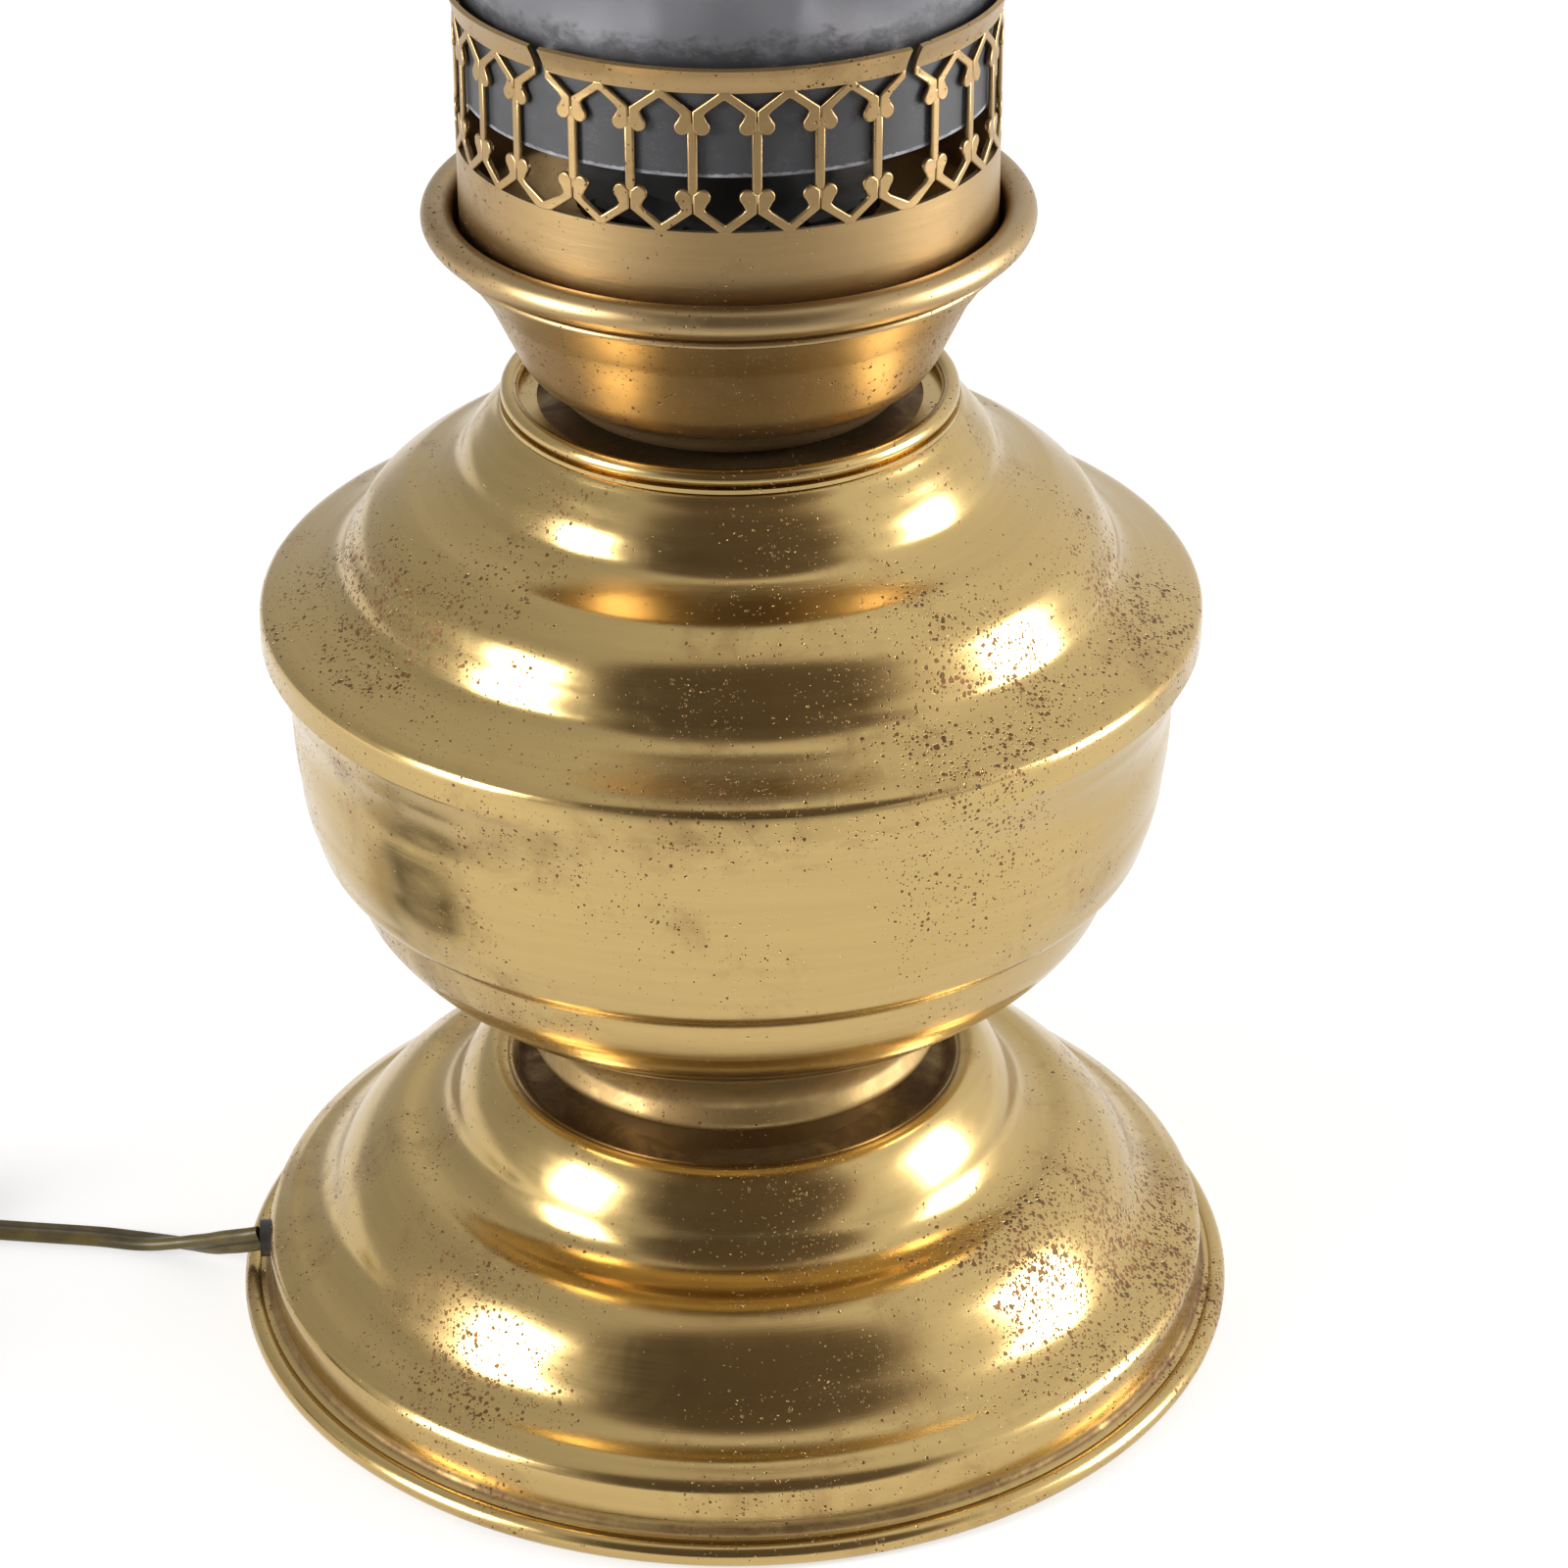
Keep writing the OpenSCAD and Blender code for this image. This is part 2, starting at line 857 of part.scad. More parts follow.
// Insulated root of each pin, its metal core, and how deep both are sunk in the body
sleeve_r = 1.7;
core_r = 1.2;
sleeve_l = 10;
sunk = 12;
pin_l = 19;
pin_gap = 18.6;
plug_turn = 174;
module at_plug() {
    translate([plug_at[0], plug_at[1], plug_z])
        rotate(plug_turn)
            children();
}

module plug_body() {
    color(black)
        at_plug()
            difference() {
                hull() {
                    translate([0, -4, -3])
                        cube([1, 8, 6]);
                    translate([16, -plug_w / 2, -plug_h / 2])
                        cube([plug_l - 16, plug_w, plug_h]);
                }
                for (side = [-1, 1])
                    translate([plug_l - sunk, side * pin_gap / 2, 0])
                        rotate([0, 90, 0])
                            cylinder(r = sleeve_r, h = sunk + 1);
            }
}

module plug_pins() {
    color("silver")
        at_plug()
            for (side = [-1, 1])
                translate([plug_l, side * pin_gap / 2, 0])
                    rotate([0, 90, 0]) {
                        translate([0, 0, -sunk])
                            cylinder(r = core_r, h = sunk + sleeve_l + 1);
                        translate([0, 0, sleeve_l])
                            cylinder(r = pin_r, h = pin_l - sleeve_l);
                    }
}

module plug_sleeves() {
    color(black)
        at_plug()
            for (side = [-1, 1])
                translate([plug_l, side * pin_gap / 2, 0])
                    rotate([0, 90, 0])
                        translate([0, 0, -sunk])
                            difference() {
                                cylinder(r = sleeve_r, h = sunk + sleeve_l);
                                translate([0, 0, -1])
                                    cylinder(r = core_r, h = sunk + sleeve_l + 2);
                            }
}

foot_shell();
cord_bush();
base_board();
base_plate();
foot_weight();
neck_spacer();
central_rod();
base_nut();
base_washer();
cord_grip();
cord_grip_screws();
font_bowl();
font_dome();
collar_ring();
cup_washer();
burner_cup();
gallery_spacer();
gallery();
lock_nut();
holder_cap();
holder_body();
shade_ring();
holder_insert();
holder_shell();
holder_contact();
terminal_screws();
inner_flex();
bulb_glass();
bulb_cap();
bulb_insulator();
bulb_contact();
bulb_stem();
bulb_filament();
glass_chimney();
flex_to_switch();
switch_base();
switch_cover();
switch_rocker();
switch_pivot();
switch_screws();
flex_to_coil();
flex_coil();
coil_tie();
flex_to_plug();
plug_body();
plug_pins();
plug_sleeves();
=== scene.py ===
import math

import bmesh
import bpy
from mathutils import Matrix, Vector


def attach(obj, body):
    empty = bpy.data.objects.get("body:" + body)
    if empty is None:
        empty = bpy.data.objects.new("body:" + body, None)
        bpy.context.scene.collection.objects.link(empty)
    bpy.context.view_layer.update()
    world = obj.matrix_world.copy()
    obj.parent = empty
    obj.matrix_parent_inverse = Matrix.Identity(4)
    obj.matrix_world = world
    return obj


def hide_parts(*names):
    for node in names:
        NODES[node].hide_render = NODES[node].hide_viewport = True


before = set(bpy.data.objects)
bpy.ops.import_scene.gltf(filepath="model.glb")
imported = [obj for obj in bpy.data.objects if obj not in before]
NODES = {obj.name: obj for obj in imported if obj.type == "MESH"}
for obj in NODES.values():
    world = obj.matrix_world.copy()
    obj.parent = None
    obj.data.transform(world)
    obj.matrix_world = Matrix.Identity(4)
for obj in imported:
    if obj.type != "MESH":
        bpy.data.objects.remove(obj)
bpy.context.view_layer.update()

MM = 0.001
scene = bpy.context.scene
scene.view_settings.view_transform = "Standard"

# ---- Camera ----
CAMERA_AT = (0.0102, -0.8029, 0.5628)
CAMERA_DOWN = 29.14    # degrees below level
CAMERA_LENS = 106.4    # mm, on a sensor 36 mm wide
camera_data = bpy.data.cameras.new("camera")
camera_data.sensor_width = 36
camera_data.lens = CAMERA_LENS
camera = bpy.data.objects.new("camera", camera_data)
scene.collection.objects.link(camera)
camera.location = CAMERA_AT
camera.rotation_euler = (math.radians(90 - CAMERA_DOWN), 0, 0)
scene.camera = camera


# ---- Mesh helpers ----
def unit(v):
    return v / max(v.length, 1e-9)


def mesh_object(name, verts, faces, body, sharp=50):
    """A smooth-shaded mesh piece riding on a body, with edges over sharp degrees left hard."""
    mesh = bpy.data.meshes.new(name)
    mesh.from_pydata([tuple(v) for v in verts], [], faces)
    mesh.validate()
    bm = bmesh.new()
    bm.from_mesh(mesh)
    bmesh.ops.recalc_face_normals(bm, faces=bm.faces)
    bm.to_mesh(mesh)
    bm.free()
    mesh.shade_smooth()
    mesh.set_sharp_from_angle(angle=math.radians(sharp))
    obj = bpy.data.objects.new(name, mesh)
    scene.collection.objects.link(obj)
    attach(obj, body)
    return obj


def arc(a, b, bulge, n):
    """Points of an arc from a towards b, without b, as in the part's own outlines."""
    chord = (b - a).length
    sweep = 4 * math.atan(bulge)
    radius = chord / 2 / math.sin(sweep / 2)
    left = Vector((a.y - b.y, b.x - a.x)) / chord
    centre = (a + b) / 2 + left * radius * math.cos(sweep / 2)
    v = a - centre
    out = []
    for i in range(n):
        t = sweep * i / n
        c, s = math.cos(t), math.sin(t)
        out.append(centre + Vector((v.x * c - v.y * s, v.x * s + v.y * c)))
    return out


def outline(stops, step=0.25):
    """Dense points of an outline of (radius, height, bulge of the stretch that follows), in mm."""
    out = []
    for here, after in zip(stops, stops[1:]):
        a, b = Vector(here[:2]), Vector(after[:2])
        n = max(2, int((b - a).length / step))
        out += arc(a, b, here[2], n) if here[2] else [a.lerp(b, i / n) for i in range(n)]
    return out + [Vector(stops[-1][:2])]


def resampled(points, step):
    """The same line with evenly spaced points."""
    total = [0.0]
    for p, q in zip(points, points[1:]):
        total.append(total[-1] + (q - p).length)
    n = max(2, int(total[-1] / step))
    out, k = [], 0
    for i in range(n + 1):
        want = total[-1] * i / n
        while k < len(points) - 2 and total[k + 1] < want:
            k += 1
        f = (want - total[k]) / max(total[k + 1] - total[k], 1e-9)
        out.append(points[k].lerp(points[k + 1], min(max(f, 0), 1)))
    return out


def eased(points, width, step=0.2):
    """The line with its corners rounded over about this width, its ends kept."""
    points = resampled(points, step)
    reach = int(width * 3 / step)
    kernel = [math.exp(-((k * step / width) ** 2) / 2) for k in range(-reach, reach + 1)]
    out = []
    for i in range(len(points)):
        room = min(reach, i, len(points) - 1 - i)
        s, w = Vector((0, 0)), 0
        for k in range(-room, room + 1):
            g = kernel[k + reach]
            s, w = s + points[i + k] * g, w + g
        out.append(s / w)
    return out


def inner_face(points, t):
    """The line moved inwards by the sheet's thickness t."""
    out = []
    last = len(points) - 1
    for i, p in enumerate(points):
        before = unit(points[max(i, 1)] - points[max(i, 1) - 1])
        after = unit(points[min(i + 1, last)] - points[min(i, last - 1)])
        way = unit(before + after)
        out.append(p + Vector((-way.y, way.x)) * t)
    return out


def lathe(name, loops, body, turns=192):
    """Closed outlines in mm, each turned about the axis."""
    verts, faces = [], []
    for loop in loops:
        base, n = len(verts), len(loop)
        for k in range(turns):
            a = 2 * math.pi * k / turns
            c, s = math.cos(a), math.sin(a)
            verts += [(p[0] * c * MM, p[0] * s * MM, p[1] * MM) for p in loop]
        for k in range(turns):
            k2 = (k + 1) % turns
            for i in range(n):
                j = (i + 1) % n
                faces.append((base + k * n + i, base + k2 * n + i, base + k2 * n + j, base + k * n + j))
    return mesh_object(name, verts, faces, body)


def sheet_loop(points, t):
    """A closed outline round a sheet of thickness t."""
    return points + inner_face(points, t)[::-1]


def disc_loop(r, z, radius, n=40):
    """A closed round outline, for a bead or a rolled edge."""
    turns = [2 * math.pi * i / n for i in range(n)]
    return [(r + radius * math.cos(a), z + radius * math.sin(a)) for a in turns]


# ---- Node helpers ----
class Nodes:
    """A material's node tree, with short ways to add to it."""

    def __init__(self, name):
        self.material = bpy.data.materials.new(name)
        self.material.use_nodes = True
        self.tree = self.material.node_tree
        self.shader = self.tree.nodes["Principled BSDF"]
        self.output = self.tree.nodes["Material Output"]

    def add(self, kind, **settings):
        node = self.tree.nodes.new(kind)
        for key, value in settings.items():
            setattr(node, key, value)
        return node

    def link(self, a, b):
        self.tree.links.new(a, b)
        return a

    def feed(self, socket, value):
        if isinstance(value, bpy.types.NodeSocket):
            self.link(value, socket)
        else:
            socket.default_value = value

    def math(self, operation, a, b=0.0, clamp=False):
        node = self.add("ShaderNodeMath", operation=operation, use_clamp=clamp)
        self.feed(node.inputs[0], a)
        self.feed(node.inputs[1], b)
        return node.outputs[0]

    def ramp(self, value, low, high, out_low=0.0, out_high=1.0):
        """A smooth step from out_low to out_high as the value goes from low to high."""
        node = self.add("ShaderNodeMapRange", interpolation_type="SMOOTHSTEP")
        self.feed(node.inputs["Value"], value)
        for key, v in (("From Min", low), ("From Max", high), ("To Min", out_low), ("To Max", out_high)):
            self.feed(node.inputs[key], v)
        return node.outputs["Result"]

    def mix(self, factor, a, b):
        node = self.add("ShaderNodeMix", data_type="RGBA")
        self.feed(node.inputs[0], factor)
        self.feed(node.inputs[6], (*a, 1) if isinstance(a, tuple) and len(a) == 3 else a)
        self.feed(node.inputs[7], (*b, 1) if isinstance(b, tuple) and len(b) == 3 else b)
        return node.outputs[2]

    def noise(self, vector, scale, detail=3.0, rough=0.55, distortion=0.0):
        node = self.add("ShaderNodeTexNoise")
        self.feed(node.inputs["Vector"], vector)
        node.inputs["Scale"].default_value = scale
        node.inputs["Detail"].default_value = detail
        node.inputs["Roughness"].default_value = rough
        node.inputs["Distortion"].default_value = distortion
        return node.outputs["Fac"]

    def cover(self, factor, under, over):
        """One surface laid over another where the factor is high."""
        node = self.add("ShaderNodeMixShader")
        for socket, source in zip(node.inputs, (factor, under, over)):
            self.link(source, socket)
        return node.outputs[0]

    def cells(self, vector, scale):
        node = self.add("ShaderNodeTexVoronoi")
        self.feed(node.inputs["Vector"], vector)
        node.inputs["Scale"].default_value = scale
        return node

    def xyz(self, x, y, z):
        node = self.add("ShaderNodeCombineXYZ")
        for socket, v in zip(node.inputs, (x, y, z)):
            self.feed(socket, v)
        return node.outputs[0]

    def coords(self):
        """Object coordinates, in metres."""
        return self.add("ShaderNodeTexCoord").outputs["Object"]

    def place(self):
        """Object coordinates, and the same as x, y, z, radius and angle."""
        coords = self.coords()
        split = self.add("ShaderNodeSeparateXYZ")
        self.link(coords, split.inputs[0])
        x, y, z = split.outputs
        radius = self.math("SQRT", self.math("ADD", self.math("MULTIPLY", x, x), self.math("MULTIPLY", y, y)))
        angle = self.math("ARCTAN2", y, x)
        return coords, x, y, z, radius, angle

    def bump(self, height, distance, strength=1.0, normal=None):
        node = self.add("ShaderNodeBump")
        node.inputs["Strength"].default_value = strength
        node.inputs["Distance"].default_value = distance
        self.feed(node.inputs["Height"], height)
        if normal is not None:
            self.link(normal, node.inputs["Normal"])
        return node.outputs["Normal"]


def paint(obj, material):
    obj.data.materials.clear()
    obj.data.materials.append(material)
    return obj


def repaint(node, material):
    """A finish for a CAD node that stays."""
    obj = NODES[node]
    for slot in obj.material_slots:
        slot.material = material


def srgb(r, g, b):
    """A colour given in 0 to 255 steps, as the shader wants it."""
    def linear(c):
        c /= 255
        return c / 12.92 if c <= 0.04045 else ((c + 0.055) / 1.055) ** 2.4
    return (linear(r), linear(g), linear(b))


# ---- Materials ----
# Pits: how many cells to a metre, how far a pit fills its cell, and the share of its kind
PIT_KINDS = ((820, 0.5, 0.8), (1500, 0.55, 0.45), (420, 0.3, 1.0))
PIT_BLACK, PIT_RUST = (0.05, 0.022, 0.012), (0.15, 0.05, 0.02)
# The dark brown of grime and painted shade in the hollows
GRIME_AND_SHADE = (0.07, 0.032, 0.012)


def brass(name, colour, dark, rough, spin, pits, blotch, patches=()):
    """Worn brass turned on a lathe: fine marks round the axis, dark pits, stains, grime and painted shade in
    the hollows.
    patches are (x, y, z, size) in metres where pits crowd."""
    n = Nodes(name)
    coords, x, y, z, radius, angle = n.place()
    fine = n.noise(n.xyz(radius, n.math("MULTIPLY", angle, 0.0007), z), 5200, detail=3, rough=0.6)
    wide = n.noise(n.xyz(radius, n.math("MULTIPLY", angle, 0.004), z), 620, detail=4, rough=0.6)
    cloud = n.noise(coords, 26, detail=5, rough=0.6, distortion=0.4)
    smudge = n.noise(coords, 95, detail=5, rough=0.65, distortion=0.8)
    small = n.noise(coords, 420, detail=3, rough=0.6)
    off_smudge = n.math("SUBTRACT", smudge, 0.5)

    # Pits crowd where the mask is high
    crowd = n.ramp(cloud, 0.32, 0.68, 0.1, 0.62)
    for px, py, pz, size in patches:
        away = n.add("ShaderNodeVectorMath", operation="DISTANCE")
        n.feed(away.inputs[0], coords)
        away.inputs[1].default_value = (px, py, pz)
        near = n.ramp(away.outputs["Value"], size * 1.25, size * 0.2, 0.0, 0.58)
        crowd = n.math("ADD", crowd, n.math("MULTIPLY", near, n.ramp(smudge, 0.3, 0.6, 0.35, 1.0)))
    pit = None
    for scale, reach, share in PIT_KINDS:
        shift = n.add("ShaderNodeVectorMath", operation="MULTIPLY_ADD")
        warp = n.add("ShaderNodeTexNoise")
        warp.inputs["Scale"].default_value = scale * 1.7
        n.feed(warp.inputs["Vector"], coords)
        n.link(warp.outputs["Color"], shift.inputs[0])
        shift.inputs[1].default_value = (0.4 / scale,) * 3
        n.link(coords, shift.inputs[2])
        cell = n.cells(shift.outputs[0], scale)
        own = n.add("ShaderNodeSeparateColor")
        n.link(cell.outputs["Color"], own.inputs[0])
        chance = n.math("SUBTRACT", n.math("ADD", crowd, pits * share * 0.62), own.outputs[0])
        size = n.math("MULTIPLY", chance, reach)
        spot = n.ramp(n.math("SUBTRACT", size, cell.outputs["Distance"]), 0.0, 0.05)
        pit = spot if pit is None else n.math("MAXIMUM", pit, spot)

    # Grime and painted shade in hollows, from the mesh
    grime_and_shade = n.add("ShaderNodeAttribute", attribute_name="hollow").outputs["Fac"]
    grime_and_shade = n.math("MULTIPLY", grime_and_shade, n.ramp(smudge, 0.25, 0.6, 0.55, 1.0))

    stain = n.ramp(n.math("ADD", cloud, n.math("MULTIPLY", off_smudge, 0.6)), 0.5, 0.78, 0.0, blotch)
    base = n.mix(n.ramp(wide, 0.3, 0.7, 0.0, 0.35), colour, tuple(c * 0.84 for c in colour))
    base = n.mix(stain, base, dark)
    # Grime and painted shade darken the hollows towards dark brown
    base = n.mix(n.math("MULTIPLY", grime_and_shade, 0.85), base, GRIME_AND_SHADE)
    rust = n.mix(n.ramp(small, 0.35, 0.65), PIT_BLACK, PIT_RUST)
    base = n.mix(n.math("MULTIPLY", pit, 0.86), base, rust)
    n.link(base, n.shader.inputs["Base Color"])

    # Metal all over, less so in pits and in the grime and painted shade; the socket's own value serves where
    # the link can't
    n.shader.inputs["Metallic"].default_value = 1.0
    cover = n.math("ADD", n.math("MULTIPLY", pit, 0.15), n.math("MULTIPLY", grime_and_shade, 0.2))
    n.link(n.math("SUBTRACT", 1.0, cover, clamp=True), n.shader.inputs["Metallic"])

    off_fine = n.math("SUBTRACT", fine, 0.5)
    shine = n.math("ADD", n.math("MULTIPLY", off_smudge, 0.14), n.math("MULTIPLY", off_fine, 0.10))
    shine = n.math("ADD", shine, n.math("MULTIPLY", stain, 0.14))
    shine = n.math("ADD", shine, n.math("MULTIPLY", n.math("MAXIMUM", pit, grime_and_shade), 0.35))
    n.link(n.math("ADD", shine, rough, clamp=True), n.shader.inputs["Roughness"])

    height = n.math("ADD", n.math("MULTIPLY", fine, 0.25 * spin), n.math("MULTIPLY", wide, 0.6 * spin))
    height = n.math("ADD", height, n.math("MULTIPLY", smudge, 0.5))
    normal = n.bump(height, 0.00006, 0.6)
    normal = n.bump(n.math("SUBTRACT", 1.0, pit), 0.00018, 0.8, normal)
    n.link(normal, n.shader.inputs["Normal"])
    return n.material


def metal(name, colour, rough, grain=0.3):
    """Plain metal with duller clouds and a fine grain."""
    n = Nodes(name)
    coords = n.coords()
    cloud = n.noise(coords, 160, detail=4)
    fine = n.noise(coords, 2600, detail=2)
    base = n.mix(n.ramp(cloud, 0.35, 0.7, 0.0, 0.5), colour, tuple(c * 0.6 for c in colour))
    n.link(base, n.shader.inputs["Base Color"])
    n.shader.inputs["Metallic"].default_value = 1.0
    n.link(n.ramp(cloud, 0.3, 0.7, rough - 0.06, rough + 0.12), n.shader.inputs["Roughness"])
    n.link(n.bump(fine, 0.00004, grain), n.shader.inputs["Normal"])
    return n.material


def plastic(name, colour, rough, grain=0.25, dust=0.15):
    """Moulded plastic or porcelain with paler, dusty clouds."""
    n = Nodes(name)
    coords = n.coords()
    cloud = n.noise(coords, 120, detail=5)
    fine = n.noise(coords, 3200, detail=2)
    pale = tuple(min(1.0, c * 0.8 + 0.12) for c in colour)
    n.link(n.mix(n.ramp(cloud, 0.45, 0.8, 0.0, dust), colour, pale), n.shader.inputs["Base Color"])
    n.link(n.ramp(cloud, 0.3, 0.7, rough - 0.08, rough + 0.1), n.shader.inputs["Roughness"])
    n.link(n.bump(fine, 0.00005, grain), n.shader.inputs["Normal"])
    return n.material


def flex_skin(name):
    """The flex's olive cover, with painted shade in the groove between its two cores."""
    n = Nodes(name)
    coords = n.coords()
    across = n.add("ShaderNodeAttribute", attribute_name="across").outputs["Fac"]
    cloud = n.noise(coords, 140, detail=5, rough=0.6)
    fine = n.noise(coords, 1800, detail=2)
    base = n.mix(n.ramp(cloud, 0.35, 0.7), srgb(82, 70, 26), srgb(56, 46, 16))
    # Painted shade along the groove between the cores
    groove_shade = n.ramp(n.math("ABSOLUTE", across), 0.22, 0.02)
    base = n.mix(n.math("MULTIPLY", groove_shade, 0.8), base, srgb(26, 19, 7))
    n.link(base, n.shader.inputs["Base Color"])
    n.link(n.ramp(cloud, 0.3, 0.7, 0.38, 0.52), n.shader.inputs["Roughness"])
    n.shader.inputs["Specular IOR Level"].default_value = 0.3
    n.shader.inputs["Coat Weight"].default_value = 0.1
    n.shader.inputs["Coat Roughness"].default_value = 0.25
    n.link(n.bump(fine, 0.00004, 0.4), n.shader.inputs["Normal"])
    return n.material


def clear_glass(name, colour, rough, ground=None, soot_and_shade=None, clear=1.0):
    """Glass. ground is (height, width) of a whitish chipped edge; a black film, soot along its ragged top and
    painted shade below it, covers the glass under the lower of the two heights given for it and thins out up to
    the higher; clear is the share of light that goes through."""
    n = Nodes(name)
    coords, x, y, z, radius, angle = n.place()
    n.shader.inputs["Base Color"].default_value = (*colour, 1)
    n.shader.inputs["Transmission Weight"].default_value = clear
    n.shader.inputs["IOR"].default_value = 1.45
    smudge = n.noise(coords, 60, detail=5, rough=0.65)
    n.link(n.ramp(smudge, 0.35, 0.75, rough, rough + 0.05), n.shader.inputs["Roughness"])
    result = n.shader.outputs[0]
    if ground:
        height, width = ground
        white = n.add("ShaderNodeBsdfPrincipled")
        white.inputs["Base Color"].default_value = (0.72, 0.72, 0.78, 1)
        white.inputs["Roughness"].default_value = 0.6
        along = n.math("MULTIPLY", angle, 0.05)
        teeth = n.noise(n.xyz(along, 0.0, n.math("MULTIPLY", z, 0.25)), 900, detail=4, rough=0.7)
        chips = n.noise(n.xyz(along, 0.0, 0.0), 150, detail=2)
        edge = n.math("ADD", height, n.math("MULTIPLY", n.math("SUBTRACT", teeth, 0.45), width * 2.2))
        edge = n.math("ADD", edge, n.ramp(chips, 0.66, 0.74, 0.0, width * 1.6))
        mask = n.ramp(n.math("SUBTRACT", z, edge), width * 0.25, -width * 0.1)
        result = n.cover(mask, result, white.outputs[0])
    # A black film: soot along its ragged top edge above the gallery, and painted shade of the gallery's dark
    # inside where it covers the glass lower down
    if soot_and_shade:
        low, high = soot_and_shade
        black = n.add("ShaderNodeBsdfPrincipled")
        black.inputs["Base Color"].default_value = (0.022, 0.021, 0.023, 1)
        black.inputs["Roughness"].default_value = 0.5
        tall = n.xyz(x, y, n.math("MULTIPLY", z, 1.6))
        film = n.noise(tall, 190, detail=6, rough=0.7, distortion=0.3)
        line = n.math("ADD", z, n.math("MULTIPLY", n.math("SUBTRACT", film, 0.5), -0.016))
        mask = n.math("MULTIPLY", n.ramp(line, high, low), n.ramp(film, 0.3, 0.7, 0.62, 0.92))
        result = n.cover(mask, result, black.outputs[0])
    n.link(result, n.output.inputs["Surface"])
    return n.material


def baize(name):
    """Green felt under the foot."""
    n = Nodes(name)
    coords = n.coords()
    fibre = n.noise(coords, 1500, detail=4, rough=0.7, distortion=1.5)
    cloud = n.noise(coords, 40, detail=4)
    base = n.mix(n.ramp(fibre, 0.3, 0.7), srgb(28, 58, 40), srgb(58, 96, 66))
    base = n.mix(n.ramp(cloud, 0.5, 0.8, 0.0, 0.4), base, srgb(70, 72, 52))
    n.link(base, n.shader.inputs["Base Color"])
    n.shader.inputs["Roughness"].default_value = 0.95
    n.shader.inputs["Sheen Weight"].default_value = 0.4
    n.link(n.bump(fibre, 0.0003, 0.8), n.shader.inputs["Normal"])
    return n.material


# ---- Outlines of the turned shells: (radius, height, bulge of the stretch that follows), in mm ----
SHEET = 0.8
FOOT_STOPS = [
    (99.4, 4.4, 0), (97.1, 5.2, 0), (96.9, 6.4, 0), (96.9, 12.4, 0.36), (94.6, 16.3, 0), (92.2, 18, -0.22),
    (82.5, 25.3, 0.17), (70.5, 38.2, 0.15), (66, 38.8, -0.3), (57.2, 44.9, 0.16), (49.4, 56.4, 0.15),
    (45.6, 55.4, 0), (43, 51.8, 0), (5.3, 51.8, 0),
]
BOWL_STOPS = [
    (5.3, 59.5, 0), (40.6, 59.5, 0.5), (41, 62, 0), (39.6, 64.5, -0.12), (41, 70, -0.14), (50, 78, -0.05),
    (57, 82, 0.1), (66, 88.2, 0.1), (74.5, 97.8, 0.04), (77.6, 107.3, 0), (81.4, 110.2, 0.1), (82.8, 114, 0.08),
    (84.9, 124, 0.04), (86, 138, -0.08), (88.2, 147, -0.06), (90.2, 152.6, 0), (90.2, 158.6, 0),
]
DOME_STOPS = [
    (91.1, 153.3, 0), (91.1, 158.4, 0.3), (90.2, 160, 0.05), (87, 161.4, -0.03), (80, 164.2, -0.16),
    (74.8, 168, 0.12), (72.2, 173, 0.1), (69, 177.6, 0.04), (62, 182.6, -0.08), (54.2, 186, -0.2),
    (51, 189.6, 0.1), (48.2, 194, 0.05), (45.3, 197.4, -0.1), (43.8, 199.6, 0), (5.3, 199.6, 0),
]
CUP_STOPS = [
    (5.3, 202, 0), (31, 202, 0.16), (34, 205.5, 0), (38, 208.3, 0.06), (40.2, 211.5, 0), (46, 223.8, 0.04),
    (52, 233.2, 0), (52, 237.8, 0),
]
PAN_STOPS = [
    (5.3, 209.5, 0), (27, 209.5, 0.1), (34.6, 212.4, 0.08), (44, 222.4, 0.08), (50.1, 236, 0), (50.1, 253.1, 0),
]
GLASS_STOPS = [
    (48.8, 262.9, 0), (48.8, 302.9, -0.08), (53.8, 324.9, 0.08), (60, 362.9, 0.12), (53, 407.9, -0.1),
    (45.2, 470.9, -0.04), (44.8, 492.9, 0),
]
BULB_STOPS = [
    (12.4, 263.9, 0), (12.4, 269.9, 0), (13.6, 274.9, -0.1), (21.5, 295.9, 0.06), (27.3, 305.9, 0.1),
    (29.5, 316.9, 0.32), (16, 343.4, 0.2), (0.6, 348.9, 0),
]


LINE_STEP = 0.6


def hollow_shading(obj, line, reach=2.2):
    """Marks how deep in a hollow each point lies, from the outline, for the grime and painted shade."""
    depth = []
    k = max(2, int(reach / LINE_STEP))
    for i, p in enumerate(line):
        a, b = line[max(0, i - k)], line[min(len(line) - 1, i + k)]
        way = unit(b - a)
        outward = Vector((way.y, -way.x))
        sag = ((a + b) / 2 - p).dot(outward)
        depth.append(max(0.0, min(1.0, (sag - 0.22) * 1.1)))
    cells = {}
    for p, d in zip(line, depth):
        key = (round(p.x * 2), round(p.y * 2))
        cells[key] = max(cells.get(key, 0), d)
    layer = obj.data.attributes.new("hollow", "FLOAT", "POINT")
    for v in obj.data.vertices:
        r, z = math.hypot(v.co.x, v.co.y) / MM, v.co.z / MM
        layer.data[v.index].value = cells.get((round(r * 2), round(z * 2)), 0.0)


def stands_for(obj, node, material):
    """The piece takes a CAD node's place, which it hides, with its own finish."""
    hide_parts(node)
    return paint(obj, material)


def shell(name, stops, node, material, ease=0.7, extra=()):
    """A spun shell that takes a CAD node's place."""
    line = resampled(eased(outline(stops), ease), LINE_STEP)
    obj = lathe(name, [sheet_loop(line, SHEET), *extra], "lamp")
    hollow_shading(obj, line)
    return stands_for(obj, node, material)


